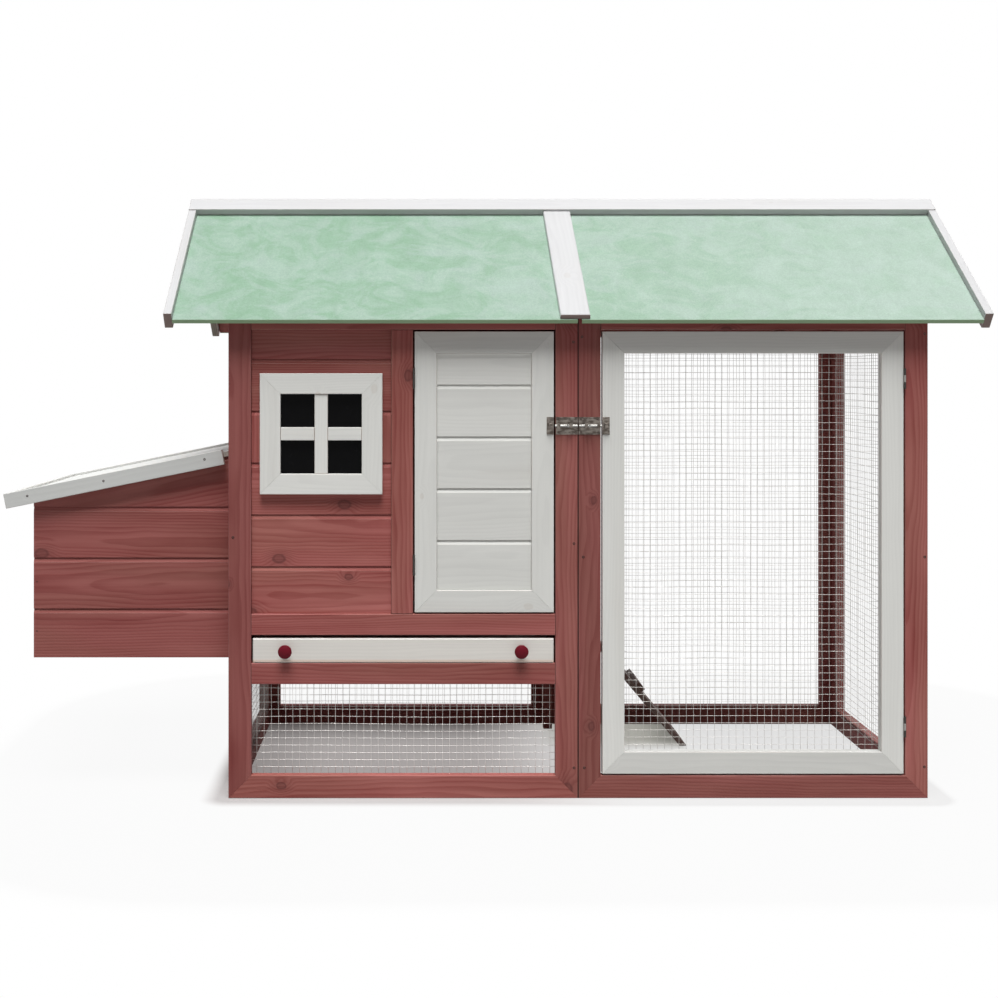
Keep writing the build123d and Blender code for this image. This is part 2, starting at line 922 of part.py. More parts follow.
def ramp_run_at_foot(drop):
    return (ramp_axis_h - drop * ramp_cos - ramp_foot_gap) / ramp_sin


def ramp_at_foot(drop):
    """Point where a face drop below the pin meets the level cut at the ground."""
    run = ramp_run_at_foot(drop)
    return (ramp_axis_x - drop * ramp_sin + run * ramp_cos, ramp_foot_gap)


save(
    "ramp_board",
    [
        batten(
            wall("front", ramp_back - ramp_w),
            [
                ramp_at_wall(hinge_stand),
                ramp_at_foot(hinge_stand),
                ramp_at_foot(ramp_under),
                ramp_at_wall(ramp_under),
            ],
            ramp_w,
        )
    ],
)
ramp_pin = (seam_x + ramp_axis_x, ramp_y, ramp_axis_h)
ramp_plane = Plane(origin=ramp_pin, x_dir=(ramp_cos, 0, -ramp_sin), z_dir=(ramp_sin, 0, ramp_cos))
cleats = []
for number in range(cleat_count):
    with BuildPart() as cleat:
        with BuildSketch(ramp_plane.offset(-hinge_stand)):
            with Locations((ramp_run_at_foot(hinge_stand) - (number + 1) * cleat_pitch, 0)):
                Rectangle(cleat_w, ramp_w)
        extrude(amount=cleat_h)
    cleats.append(cleat.part)
save("ramp_cleats", cleats)

# Hinges: two to each door, to the lid and to the ramp
up = (0, 0, 1)
inward = (0, 1, 0)
pin_y = -half_d - leaf_start
lid_direction = (-lid_cos, 0, -lid_sin)
ramp_direction = (ramp_cos, 0, -ramp_sin)
door_pin_x = seam_x + mullion_right + door_gap / 2
run_pin_x = seam_x + run_right - door_gap / 2
door_mount = door_gap / 2
frame_leaves = []
house_door_leaves = []
run_door_leaves = []
lid_leaves = []
ramp_leaves = []
for level in (door_low + hinge_inset, door_high - hinge_inset):
    pin = (door_pin_x, pin_y, level)
    frame_leaves.append(fixed_leaf(pin, inward, up, 1, door_mount))
    house_door_leaves.append(moving_leaf(pin, inward, up, -1, door_mount))
for level in (run_door_low + hinge_inset, door_high - hinge_inset):
    pin = (run_pin_x, pin_y, level)
    frame_leaves.append(fixed_leaf(pin, inward, up, -1, door_mount))
    run_door_leaves.append(moving_leaf(pin, inward, up, 1, door_mount))
for y in (-lid_hinge_spread / 2, lid_hinge_spread / 2):
    pin = (seam_x + lid_axis_x, y, lid_axis_h)
    frame_leaves.append(fixed_leaf(pin, up, inward, 1, hinge_stand))
    lid_leaves.append(moving_leaf(pin, lid_direction, inward, -1, hinge_stand))
for y in (ramp_y - ramp_hinge_spread / 2, ramp_y + ramp_hinge_spread / 2):
    pin = (seam_x + ramp_axis_x, y, ramp_axis_h)
    frame_leaves.append(fixed_leaf(pin, up, inward, -1, hinge_stand))
    ramp_leaves.append(moving_leaf(pin, ramp_direction, inward, 1, hinge_stand))
save("hinge_frame_leaves", frame_leaves)
save("house_door_hinge_leaves", house_door_leaves)
save("run_door_hinge_leaves", run_door_leaves)
save("nest_lid_hinge_leaves", lid_leaves)
save("ramp_hinge_leaves", ramp_leaves)

# Barrel bolts on the two posts at the seam, each shooting outward to a keeper on its door
bolt_y = bolt_plate_t + bolt_stand + bolt_r
strap_outer_x = batten_w - strap_inset
strap_inner_x = strap_outer_x - strap_spread
strap_half = bolt_r + strap_fit + strap_t
strap_reach = bolt_y + bolt_r + strap_fit + strap_t
bolt_knob_x = strap_inner_x + strap_w / 2 + bolt_knob_r + bolt_knob_clear


def strapped_plate(hand, x0, x1, strap_xs):
    """Plate on the front face with square straps over the path of the bolt."""
    with BuildPart() as plate:
        with BuildSketch(front):
            with Locations((hand * (x0 + x1) / 2, bolt_level)):
                Rectangle(x1 - x0, bolt_plate_h)
        extrude(amount=bolt_plate_t)
        for x in strap_xs:
            with BuildSketch(wall("right", hand * x - strap_w / 2)):
                with Locations((-half_d - strap_reach / 2, bolt_level)):
                    Rectangle(strap_reach, 2 * strap_half)
                with Locations((-half_d - (strap_reach - strap_t) / 2, bolt_level)):
                    Rectangle(
                        strap_reach - strap_t, 2 * (strap_half - strap_t), mode=Mode.SUBTRACT
                    )
            extrude(amount=strap_w)
    return plate.part


def barrel_bolt(hand):
    """Round bolt with its finger knob, drawn back so that its tip stands in the door gap."""
    tip = batten_w + bolt_tip
    with BuildPart() as bolt:
        with BuildSketch(wall("right", min(hand * tip, hand * (tip - bolt_len)))):
            with Locations((-half_d - bolt_y, bolt_level)):
                Circle(bolt_r)
        extrude(amount=bolt_len)
        with BuildSketch(wall("front", -half_d - bolt_y)):
            with Locations((hand * bolt_knob_x, bolt_level)):
                Circle(bolt_knob_r)
        extrude(amount=bolt_knob_len)
    return bolt.part


plate_x = (batten_w - bolt_plate_w) / 2
bolt_straps = (strap_inner_x, strap_outer_x)
keeper_x = batten_w + door_gap + joint_gap
keeper_strap = (keeper_x + keeper_w / 2,)
save(
    "bolt_plates",
    [strapped_plate(hand, plate_x, plate_x + bolt_plate_w, bolt_straps) for hand in (-1, 1)],
)
save("house_door_bolt", [barrel_bolt(-1)])
save("run_door_bolt", [barrel_bolt(1)])
save("house_door_keeper", [strapped_plate(-1, keeper_x, keeper_x + keeper_w, keeper_strap)])
save("run_door_keeper", [strapped_plate(1, keeper_x, keeper_x + keeper_w, keeper_strap)])

# Dropping tray on two flat runners
runner_low = tray_level - batten_t
runner_lefts = (house_left + batten_t + joint_gap, -batten_t - joint_gap - batten_w)
runners = []
for x in runner_lefts:
    with BuildPart() as runner:
        with BuildSketch(Plane.XY.offset(runner_low)):
            with Locations((seam_x + x + batten_w / 2, 0)):
                Rectangle(batten_w, 2 * stile_end)
        extrude(amount=batten_t)
    runners.append(runner.part)
save("tray_runners", runners)
tray_x = seam_x + (bay_left + bay_right) / 2
tray_low = tray_level + slide_gap
tray_front_w = bay_right - bay_left - 2 * door_gap
tray_front_h = tray_slot_h - slide_gap - tray_head_gap
tray_front_z = tray_low + tray_front_h / 2
with BuildPart() as tray_front:
    with BuildSketch(front):
        with Locations((tray_x - seam_x, tray_front_z)):
            Rectangle(tray_front_w, tray_front_h)
    extrude(amount=-tray_front_t)
    chamfer(tray_front.faces().sort_by(Axis.Y)[0].edges(), length=tray_front_round)
save("tray_front", [tray_front.part])
pan_front = -half_d + tray_front_t
pan_back = inner_d - pan_end_gap
pan_w = bay_right - bay_left - 2 * pan_side_gap
with BuildPart() as tray_pan:
    with BuildSketch(Plane.XY.offset(tray_low)):
        with Locations((tray_x, (pan_front + pan_back) / 2)):
            Rectangle(pan_w, pan_back - pan_front)
    extrude(amount=pan_h)
    offset(amount=-pan_t, openings=tray_pan.faces().sort_by(Axis.Z)[-1])
save("tray_pan", [tray_pan.part])


def tray_knob(x):
    """Turned knob: a stem, a flared head and a shallow crown, revolved about its own axis."""
    head = knob_stem_len + knob_head_len
    rim = head - knob_crown
    with BuildPart() as knob:
        with BuildSketch(Plane(origin=(x, -half_d, tray_front_z), z_dir=(0, 0, 1))):
            with BuildLine():
                Polyline(
                    (0, -head),
                    (0, 0),
                    (knob_stem_r, 0),
                    (knob_stem_r, -knob_stem_len),
                    (knob_r, -knob_stem_len - knob_crown),
                    (knob_r, -rim),
                )
                TangentArc((0, -head), (knob_r, -rim), tangent=(1, 0))
            make_face()
        revolve(axis=Axis((x, -half_d, tray_front_z), (0, 1, 0)))
    return knob.part


save("tray_knobs", [tray_knob(tray_x - knob_spread / 2), tray_knob(tray_x + knob_spread / 2)])

# Roost perch in two open brackets on the end boards, above the hinge rail
perch_level = hinge_rail_high + perch_rise
perch_left = house_left + board_recess + board_t + joint_gap
perch_right = -board_recess - board_t - joint_gap
with BuildPart() as perch:
    with BuildSketch(wall("right", perch_left)):
        with Locations((perch_y, perch_level)):
            RectangleRounded(perch_w, perch_w, perch_round)
    extrude(amount=perch_right - perch_left)
save("roost_perch", [perch.part])
slot_low = perch_level - perch_w / 2 - perch_fit
bracket_low = slot_low - (bracket_w - perch_w) / 2
bracket_high = bracket_low + bracket_h
brackets = []
for x in (perch_left, perch_right - bracket_t):
    with BuildPart() as bracket:
        with BuildSketch(wall("right", x)):
            with Locations((perch_y, bracket_low + bracket_h / 2)):
                Rectangle(bracket_w, bracket_h)
            with Locations((perch_y, (slot_low + bracket_high) / 2)):
                Rectangle(
                    perch_w + 2 * perch_fit, bracket_high - slot_low, mode=Mode.SUBTRACT
                )
        extrude(amount=bracket_t)
    brackets.append(bracket.part)
save("perch_brackets", brackets)
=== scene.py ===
import json
import math
import random

import bmesh
import bpy
import numpy as np
from mathutils import Matrix, Vector


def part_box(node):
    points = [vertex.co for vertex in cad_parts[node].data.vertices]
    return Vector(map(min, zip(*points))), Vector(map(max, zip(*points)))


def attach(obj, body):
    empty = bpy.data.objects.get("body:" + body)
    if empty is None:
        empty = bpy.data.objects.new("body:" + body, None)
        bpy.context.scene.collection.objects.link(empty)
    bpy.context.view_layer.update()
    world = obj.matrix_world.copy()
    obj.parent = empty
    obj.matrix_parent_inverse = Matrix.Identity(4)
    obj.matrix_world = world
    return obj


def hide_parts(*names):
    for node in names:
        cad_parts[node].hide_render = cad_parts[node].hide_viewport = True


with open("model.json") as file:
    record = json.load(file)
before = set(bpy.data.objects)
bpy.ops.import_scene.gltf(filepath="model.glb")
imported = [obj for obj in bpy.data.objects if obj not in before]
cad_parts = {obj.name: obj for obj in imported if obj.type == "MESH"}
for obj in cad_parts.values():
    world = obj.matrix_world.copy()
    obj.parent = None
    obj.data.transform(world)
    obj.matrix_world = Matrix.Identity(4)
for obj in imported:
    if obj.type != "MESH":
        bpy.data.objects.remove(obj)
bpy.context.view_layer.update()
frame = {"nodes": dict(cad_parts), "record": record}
nodes = frame["nodes"]
behaviour = frame["record"]["behaviour"]
node_body = {n: b for b, group in behaviour["bodies"].items() for n in group}
pins = {j["name"]: Vector(j["pos_m"]) for j in behaviour["joints"] if "pos_m" in j}
MM = 0.001
SEED = 41
WHITE = (1, 1, 1, 1)

# The seam between house and run on the front face: places on the front are measured from it
SEAM_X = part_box("run_front_frame")[0].x
FRONT_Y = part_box("run_front_frame")[0].y

# Picture geometry: a level view square to the front, with the picture's own shift
EYE = (SEAM_X - 0.3114, FRONT_Y - 2.7, 0.8268)
LENS_MM = 50.10
SENSOR_MM = 36.0
SHIFT_X = 0.0812
SHIFT_Y = -0.1263


def new_object(name, mesh, body):
    """A mesh as a named piece that rides on a body."""
    obj = bpy.data.objects.new(name, mesh)
    bpy.context.scene.collection.objects.link(obj)
    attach(obj, body)
    return obj


# Shader helpers


def new_material(name):
    """A material with an empty tree, its output and its main shader."""
    made = bpy.data.materials.new(name)
    made.use_nodes = True
    tree = made.node_tree
    tree.nodes.clear()
    out = tree.nodes.new("ShaderNodeOutputMaterial")
    shader = tree.nodes.new("ShaderNodeBsdfPrincipled")
    tree.links.new(shader.outputs[0], out.inputs[0])
    return made, tree, shader


def feed(tree, socket, value):
    """Sets a socket to a value, or links it to another socket."""
    if isinstance(value, bpy.types.NodeSocket):
        tree.links.new(value, socket)
    else:
        socket.default_value = value


def put(tree, kind, values=None, **settings):
    """A new node with its settings and inputs."""
    node = tree.nodes.new("ShaderNode" + kind)
    for key, value in settings.items():
        setattr(node, key, value)
    for key, value in (values or {}).items():
        feed(tree, node.inputs[key], value)
    return node


def calc(tree, operation, a, b=0.0, c=0.0):
    """Result of one operation on numbers."""
    return put(tree, "Math", {0: a, 1: b, 2: c}, operation=operation).outputs[0]


def times(tree, a, b):
    """Product of two numbers."""
    return calc(tree, "MULTIPLY", a, b)


def line(tree, value, gain, base):
    """A number times a gain, plus a base."""
    return calc(tree, "MULTIPLY_ADD", value, gain, base)


def vary(tree, value, amount, base):
    """A base level moved by a noise about its middle."""
    return line(tree, calc(tree, "SUBTRACT", value, 0.5), amount, base)


def vectors(tree, operation, a, b=(0.0, 0.0, 0.0)):
    """Result of one operation on vectors."""
    return put(tree, "VectorMath", {0: a, 1: b}, operation=operation).outputs[0]


def length(tree, vector):
    """Length of a vector."""
    return put(tree, "VectorMath", {0: vector}, operation="LENGTH").outputs["Value"]


def split(tree, vector):
    """The three parts of a vector."""
    return put(tree, "SeparateXYZ", {0: vector}).outputs


def object_place(tree):
    """Place of a point on its object."""
    return put(tree, "TexCoord").outputs["Object"]


def upward(tree):
    """How far a surface looks up: 1 when level, 0 when upright."""
    return split(tree, put(tree, "NewGeometry").outputs["Normal"])[2]


def noise(tree, place, scale, detail=2.0, roughness=0.5, distortion=0.0):
    """Fractal noise, at one scale or at a scale for each axis."""
    if isinstance(scale, tuple):
        place, scale = vectors(tree, "MULTIPLY", place, scale), 1.0
    values = {"Vector": place, "Scale": scale, "Detail": detail}
    values |= {"Roughness": roughness, "Distortion": distortion}
    return put(tree, "TexNoise", values).outputs[0]


def speckle(tree, place, scale):
    """A random tone for each cell of a fine pattern."""
    cells = put(tree, "TexVoronoi", {"Vector": place, "Scale": scale})
    return put(tree, "SeparateColor", {0: cells.outputs["Color"]}).outputs[0]


def smooth(tree, value, low, high, to_low=0.0, to_high=1.0):
    """Smooth step of a value from low to high."""
    values = {"Value": value, "From Min": low, "From Max": high}
    values |= {"To Min": to_low, "To Max": to_high}
    return put(tree, "MapRange", values, interpolation_type="SMOOTHSTEP").outputs[0]


def band(tree, value, rise, fall):
    """A smooth rise times a smooth fall of a value."""
    return times(tree, smooth(tree, value, *rise), smooth(tree, value, *fall))


def mix(tree, factor, a, b, blend="MIX"):
    """One colour laid over another by a factor."""
    node = tree.nodes.new("ShaderNodeMix")
    node.data_type = "RGBA"
    node.blend_type = blend
    feed(tree, node.inputs[0], factor)
    feed(tree, node.inputs[6], a)
    feed(tree, node.inputs[7], b)
    return node.outputs[2]


def filtered(tree, colour, *factors):
    """A colour with its red, green and blue each times a factor."""
    veil = put(tree, "CombineColor", dict(enumerate(factors))).outputs[0]
    return mix(tree, 1.0, colour, veil, "MULTIPLY")


def shade(tree, colour, factor):
    """A colour times a number that varies over the surface."""
    return filtered(tree, colour, factor, factor, factor)


def surface(tree, shader, colour, rough, gloss):
    """Feeds the colour, roughness and gloss of a shader."""
    feed(tree, shader.inputs["Base Color"], colour)
    feed(tree, shader.inputs["Roughness"], rough)
    feed(tree, shader.inputs["Specular IOR Level"], gloss)


def bump(tree, shader, masks, gains, strength, depth):
    """Fine relief from a weighted sum of masks."""
    height = 0.0
    for name, gain in gains.items():
        height = line(tree, masks[name], gain, height)
    values = {"Height": height, "Strength": strength, "Distance": depth}
    feed(tree, shader.inputs["Normal"], put(tree, "Bump", values).outputs[0])


# Timber: rings about a pith beside the board, fibres along it, and knots. Lengths are in metres;
# noises have a scale along, across and through the board, then detail and roughness

KNOT_CELL = (0.23, 0.11)
KNOT_SCATTER = 0.85
KNOT_STRETCH = 0.7
KNOT_CHANCE = (0.72, 0.74)
KNOT_RADIUS = (0.0055, 0.0026)
KNOT_WAVER = 0.004
WAVER_NOISE = ((90.0, 140.0, 0.0),)
# Reaches of a knot's core, rim and halo, in its own radii
CORE_FADE = (1.1, 0.7)
RIM_BAND = ((1.6, 1.15), (0.7, 1.05))
HALO_FADE = (4.2, 0.8)
RING_PITCH = 0.0046
RING_WARP = 0.03
RING_SWELL = 0.010
WARP_NOISE = ((2.0, 9.0, 9.0), 3.0)
LATE_BAND = ((0.25, 0.86), (1.0, 0.9))
BOARD_NOISES = {
    "fibre": ((7.0, 330.0, 330.0), 3.0, 0.6),
    "streak": ((1.5, 80.0, 80.0), 2.0),
    "blotch": ((3.2, 17.0, 17.0), 3.0),
    "hue": ((1.9, 11.0, 11.0), 2.0),
}


def timber_pattern():
    """Node group that turns a board's own coordinates into ring, fibre, blotch and knot masks."""
    tree = bpy.data.node_groups.new("timber_pattern", "ShaderNodeTree")
    grain = put(tree, "Attribute", attribute_name="grain").outputs["Vector"]
    long, wide = KNOT_CELL
    cell = vectors(tree, "MULTIPLY", grain, (1 / long, 1 / wide, 0.0))
    voronoi = {"Vector": cell, "Scale": 1.0, "Randomness": KNOT_SCATTER}
    spots = put(tree, "TexVoronoi", voronoi, voronoi_dimensions="2D").outputs
    apart = vectors(tree, "SUBTRACT", cell, spots["Position"])
    apart = vectors(tree, "MULTIPLY", apart, (long * KNOT_STRETCH, wide, 0.0))
    away = vary(tree, noise(tree, grain, *WAVER_NOISE), KNOT_WAVER, length(tree, apart))
    chance = put(tree, "SeparateColor", {0: spots["Color"]}).outputs
    kept = smooth(tree, chance[0], *KNOT_CHANCE)
    share = calc(tree, "DIVIDE", away, line(tree, chance[1], *KNOT_RADIUS))
    halo = times(tree, smooth(tree, share, *HALO_FADE), kept)
    _, across, through = split(tree, grain)
    reach = length(tree, put(tree, "CombineXYZ", {1: across, 2: through}).outputs[0])
    reach = line(tree, noise(tree, grain, *WARP_NOISE), RING_WARP, reach)
    reach = line(tree, halo, RING_SWELL, reach)
    turn = calc(tree, "FRACT", calc(tree, "DIVIDE", reach, RING_PITCH))
    found = {name: noise(tree, grain, *spec) for name, spec in BOARD_NOISES.items()}
    found |= {
        "late": band(tree, turn, *LATE_BAND),
        "knot": times(tree, smooth(tree, share, *CORE_FADE), kept),
        "rim": times(tree, band(tree, share, *RIM_BAND), kept),
        "halo": halo,
    }
    for name in ("tint", "end"):
        found[name] = put(tree, "Attribute", attribute_name=name).outputs["Fac"]
    for name in found:
        tree.interface.new_socket(name, in_out="OUTPUT", socket_type="NodeSocketFloat")
    out = tree.nodes.new("NodeGroupOutput")
    for name, socket in found.items():
        tree.links.new(socket, out.inputs[name])
    return tree


TIMBER = timber_pattern()


def timber(tree):
    """The masks of the timber pattern, by name."""
    group = tree.nodes.new("ShaderNodeGroup")
    group.node_tree = TIMBER
    return group.outputs


# How closely red, and then green and blue, follow the thickness of a stain
STAIN_GAINS = (1.15, 1.9)
STAIN_HUE = (0.36, 0.64)
STAIN_LATE = (-0.15, 1.05)
STAIN_THICK = {"streak": 0.34, "fibre": 0.16, "blotch": 0.6}
# Weight of each board's own shade, which on the listed front timbers is painted shade and light
STAIN_TONE_AND_PAINTED_SHADE = 0.2
STAIN_DARK = {"halo": 0.22, "knot": 0.34, "rim": 0.6}
STAIN_END = 0.7
STAIN_ROUGH = (0.2, 0.6)
STAIN_GLOSS = 0.2
STAIN_RELIEF = {"late": 0.5, "fibre": 0.6, "rim": -0.7}
STAIN_BUMP = (0.25, 0.0006)
# Painted shade in the seam between the two modules: how far it reaches and how dark it is
SEAM_PAINTED_SHADE_REACH = (0.0009, 0.0019)
SEAM_PAINTED_SHADE = 0.22
# Painted highlight along an edge that turns upwards: from which lean of the surface it starts and
# is full
PAINTED_HIGHLIGHT_LEAN = (0.02, 0.16)


def thin_stain(tree, colour, level):
    """A stain that varies in thickness: where it thins, the pale wood weakens its colour."""
    strong, weak = (line(tree, level, gain, 1.0 - gain) for gain in STAIN_GAINS)
    return filtered(tree, colour, strong, weak, weak)


def stained_wood(name, redder, browner, dark, end, seam=False, lip=None):
    """Softwood under a thin stain: the rings, fibres and knots show through it."""
    made, tree, shader = new_material(name)
    wood = timber(tree)
    colour = mix(tree, smooth(tree, wood["hue"], *STAIN_HUE), browner, redder)
    level = line(tree, wood["late"], *STAIN_LATE)
    for mask, amount in STAIN_THICK.items():
        level = vary(tree, wood[mask], amount, level)
    colour = thin_stain(tree, colour, level)
    colour = shade(tree, colour, vary(tree, wood["tint"], STAIN_TONE_AND_PAINTED_SHADE, 1.0))
    for mask, amount in STAIN_DARK.items():
        colour = mix(tree, times(tree, wood[mask], amount), colour, dark)
    colour = mix(tree, times(tree, wood["end"], STAIN_END), colour, end)
    # Edges that turn upwards take a pale painted highlight
    if lip:
        colour = mix(tree, smooth(tree, upward(tree), *PAINTED_HIGHLIGHT_LEAN), colour, lip)
    # A dark line along the seam: painted shade for the gap between the modules
    if seam:
        off = calc(tree, "SUBTRACT", split(tree, object_place(tree))[0], SEAM_X)
        off = calc(tree, "ABSOLUTE", off)
        colour = shade(tree, colour, smooth(tree, off, *SEAM_PAINTED_SHADE_REACH, SEAM_PAINTED_SHADE, 1.0))
    surface(tree, shader, colour, vary(tree, wood["fibre"], *STAIN_ROUGH), STAIN_GLOSS)
    bump(tree, shader, wood, STAIN_RELIEF, *STAIN_BUMP)
    return made


PAINT_KNOT = 0.35
PAINT_STAIN = (0.5, 0.75)
PAINT_STAINED = 0.16
PAINT_LATE = (-0.03, 1.01)
PAINT_VARY = {"streak": 0.08, "fibre": 0.05, "blotch": 0.1, "tint": 0.05}
PAINT_END = 0.85
PAINT_ROUGH = (0.16, 0.5)
PAINT_GLOSS = 0.3
PAINT_RELIEF = {"late": 0.35, "fibre": 0.5}
PAINT_BUMP = (0.2, 0.0005)
WORN_BLOTCH = (0.35, 0.62)
# Painted shade on faces that look up, to hold back the light from above: from which lean of the
# surface it starts and is full
PAINTED_TOP_SHADE_LEAN = (0.6, 0.95)
FOOT_SOIL = 0.95


def painted_wood(name, paint, warm, end, bare=0.0, foot=None, painted_top_shade_share=0.0):
    """Softwood under paint: grain shows as relief, knots as faint stains, edges wear to wood."""
    made, tree, shader = new_material(name)
    wood = timber(tree)
    colour = mix(tree, times(tree, wood["knot"], PAINT_KNOT), paint, warm)
    stain = times(tree, smooth(tree, wood["hue"], *PAINT_STAIN), PAINT_STAINED)
    colour = mix(tree, stain, colour, warm)
    level = line(tree, wood["late"], *PAINT_LATE)
    for mask, amount in PAINT_VARY.items():
        level = vary(tree, wood[mask], amount, level)
    colour = shade(tree, colour, level)
    colour = mix(tree, times(tree, wood["end"], PAINT_END), colour, end)
    if bare:
        worn = times(tree, smooth(tree, wood["blotch"], *WORN_BLOTCH), bare)
        colour = mix(tree, worn, colour, warm)
    # Faces that look up are darkened: painted shade
    if painted_top_shade_share:
        painted_top_shade = smooth(tree, upward(tree), *PAINTED_TOP_SHADE_LEAN, 1.0, 1.0 - painted_top_shade_share)
        colour = shade(tree, colour, painted_top_shade)
    if foot:
        bottom, reach, soil = foot
        rise = split(tree, object_place(tree))[2]
        soiled = smooth(tree, rise, bottom + reach, bottom, 0.0, FOOT_SOIL)
        colour = mix(tree, soiled, colour, soil)
    surface(tree, shader, colour, vary(tree, wood["fibre"], *PAINT_ROUGH), PAINT_GLOSS)
    bump(tree, shader, wood, PAINT_RELIEF, *PAINT_BUMP)
    return made


# Stains: the redder and the browner colour of the wood, its knots and its end grain
RED_STAIN = (
    (0.358, 0.108, 0.098, 1), (0.318, 0.106, 0.089, 1),
    (0.1, 0.03, 0.028, 1), (0.2, 0.07, 0.055, 1),
)
RED_WORN = (
    (0.4, 0.145, 0.135, 1), (0.33, 0.135, 0.11, 1),
    (0.13, 0.045, 0.04, 1), (0.24, 0.09, 0.075, 1),
)
# The ramp's stain: the red stain made darker and browner, painted shade for the ramp under the roof
RAMP_STAIN_PAINTED_SHADE = (
    (0.2, 0.125, 0.112, 1), (0.165, 0.11, 0.092, 1),
    (0.05, 0.025, 0.02, 1), (0.12, 0.07, 0.05, 1),
)
SAWN_END = (0.2, 0.125, 0.1, 1)
# Dark bare-wood colour for the barge boards' undersides: painted shade
BARE_WOOD_PAINTED_SHADE = (
    (0.24, 0.2, 0.17, 1), (0.2, 0.17, 0.14, 1), (0.08, 0.06, 0.05, 1), SAWN_END,
)
# Pale colour of the painted highlight on the boards' upturned edges
PAINTED_HIGHLIGHT_LIP = (0.7, 0.42, 0.37, 1)
red = stained_wood("red_stain", *RED_STAIN)
red_edge = stained_wood("red_stain_edge", *RED_WORN)
red_painted_highlight = stained_wood("red_stain_lip", *RED_WORN, lip=PAINTED_HIGHLIGHT_LIP)
# Copies of the red stain with painted shade along the seam between the modules
red_seam_painted_shade = stained_wood("red_stain_seam", *RED_STAIN, seam=True)
red_edge_seam_painted_shade = stained_wood("red_stain_seam_edge", *RED_WORN, seam=True)
ramp_stain_painted_shade = stained_wood("brown_stain", *RAMP_STAIN_PAINTED_SHADE)
bare_wood = stained_wood("bare_wood", *BARE_WOOD_PAINTED_SHADE)

# Paints: the paint itself, the warmer colour where wood shows through, and the end grain
WARM_PAINT = (0.66, 0.61, 0.545, 1)
PAINTED_END = (0.5, 0.46, 0.4, 1)
WHITE_PAINT = ((0.8, 0.803, 0.768, 1), WARM_PAINT, PAINTED_END)
# Edge paint: lighter than the face paint as a painted highlight on the eased edges, and worn to
# wood in places
WHITE_WORN_PAINTED_HIGHLIGHT = ((0.86, 0.855, 0.825, 1), (0.66, 0.55, 0.47, 1), PAINTED_END)
TRAY_PAINT = ((0.8, 0.775, 0.725, 1), WARM_PAINT, PAINTED_END)
TRAY_WORN = ((0.72, 0.54, 0.41, 1), (0.5, 0.32, 0.23, 1), PAINTED_END)
# The trims and the lid are white paint made grey: painted shade against the stronger light on top
TRIM_PAINT_PAINTED_SHADE = ((0.56, 0.56, 0.565, 1), (0.51, 0.485, 0.46, 1), SAWN_END)
TRIM_WORN_PAINTED_SHADE = ((0.58, 0.575, 0.57, 1), (0.46, 0.4, 0.365, 1), SAWN_END)
LID_PAINT_PAINTED_SHADE = ((0.62, 0.628, 0.61, 1), (0.55, 0.52, 0.48, 1), PAINTED_END)
LID_WORN_PAINTED_SHADE = ((0.63, 0.63, 0.61, 1), (0.5, 0.45, 0.4, 1), PAINTED_END)
# Level of the tray's foot, how far its soiling reaches up, and the colour of that
TRAY_FOOT = (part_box("tray_front")[0].z, 0.009, (0.74, 0.47, 0.33, 1))
# The white paints darken their upward faces as painted shade
white = painted_wood("white_paint", *WHITE_PAINT, painted_top_shade_share=0.3)
# The eased edges of white pieces carry a painted highlight
white_edge_painted_highlight = painted_wood("white_paint_edge", *WHITE_WORN_PAINTED_HIGHLIGHT, bare=0.3, painted_top_shade_share=0.25)
tray_white = painted_wood("white_tray", *TRAY_PAINT, foot=TRAY_FOOT, painted_top_shade_share=0.3)
tan_edge = painted_wood("worn_tray_edge", *TRAY_WORN, bare=0.7)
# Grey trim and lid coats: painted shade against the light on top
trim_painted_shade = painted_wood("white_trim", *TRIM_PAINT_PAINTED_SHADE)
trim_edge_painted_shade = painted_wood("white_trim_edge", *TRIM_WORN_PAINTED_SHADE, bare=0.25)
lid_paint_painted_shade = painted_wood("white_lid", *LID_PAINT_PAINTED_SHADE)
lid_edge_painted_shade = painted_wood("white_lid_edge", *LID_WORN_PAINTED_SHADE, bare=0.25)

# Felt: noises have a scale for each axis, then detail, roughness and distortion
CLOUD_NOISE = ((11.0, 14.0, 14.0), 5.0, 0.6, 1.0)
WASH_NOISE = ((8.0, 14.0, 14.0), 5.0, 0.6, 1.2)
DRAG_NOISE = ((34.0, 16.0, 16.0), 4.0, 0.65, 0.8)
FELT_GREENS = ((0.248, 0.393, 0.281, 1), (0.335, 0.452, 0.376, 1))
CLOUD_FADE = (0.34, 0.64)
WASHED_FELT = (0.355, 0.45, 0.405, 1)
WASH_FADE = (0.5, 0.7, 0.0, 0.6)
# Paler towards the right end, as painted light, and greener and lighter on the cut edge, as painted
# light for its dimly lit upright faces
FELT_PAINTED_LIGHT = (0.45, 0.54, 0.485, 1)
FELT_PAINTED_LIGHT_REACH = (-0.4, 1.0, 0.0, 0.55)
FELT_EDGE_PAINTED_LIGHT = (0.33, 0.475, 0.28, 1)
FELT_EDGE_PAINTED_LIGHT_LEAN = (0.4, 0.1, 0.0, 0.85)
GRANULES = 620.0
GRANULE_TONE = (0.16, 0.92)
DRAG_TONE = 0.22
FELT_ROUGH = (0.12, 0.84)
FELT_GLOSS = 0.15
FELT_RELIEF = {"tone": 0.3, "cloud": 0.8}
FELT_BUMP = (0.3, 0.0012)


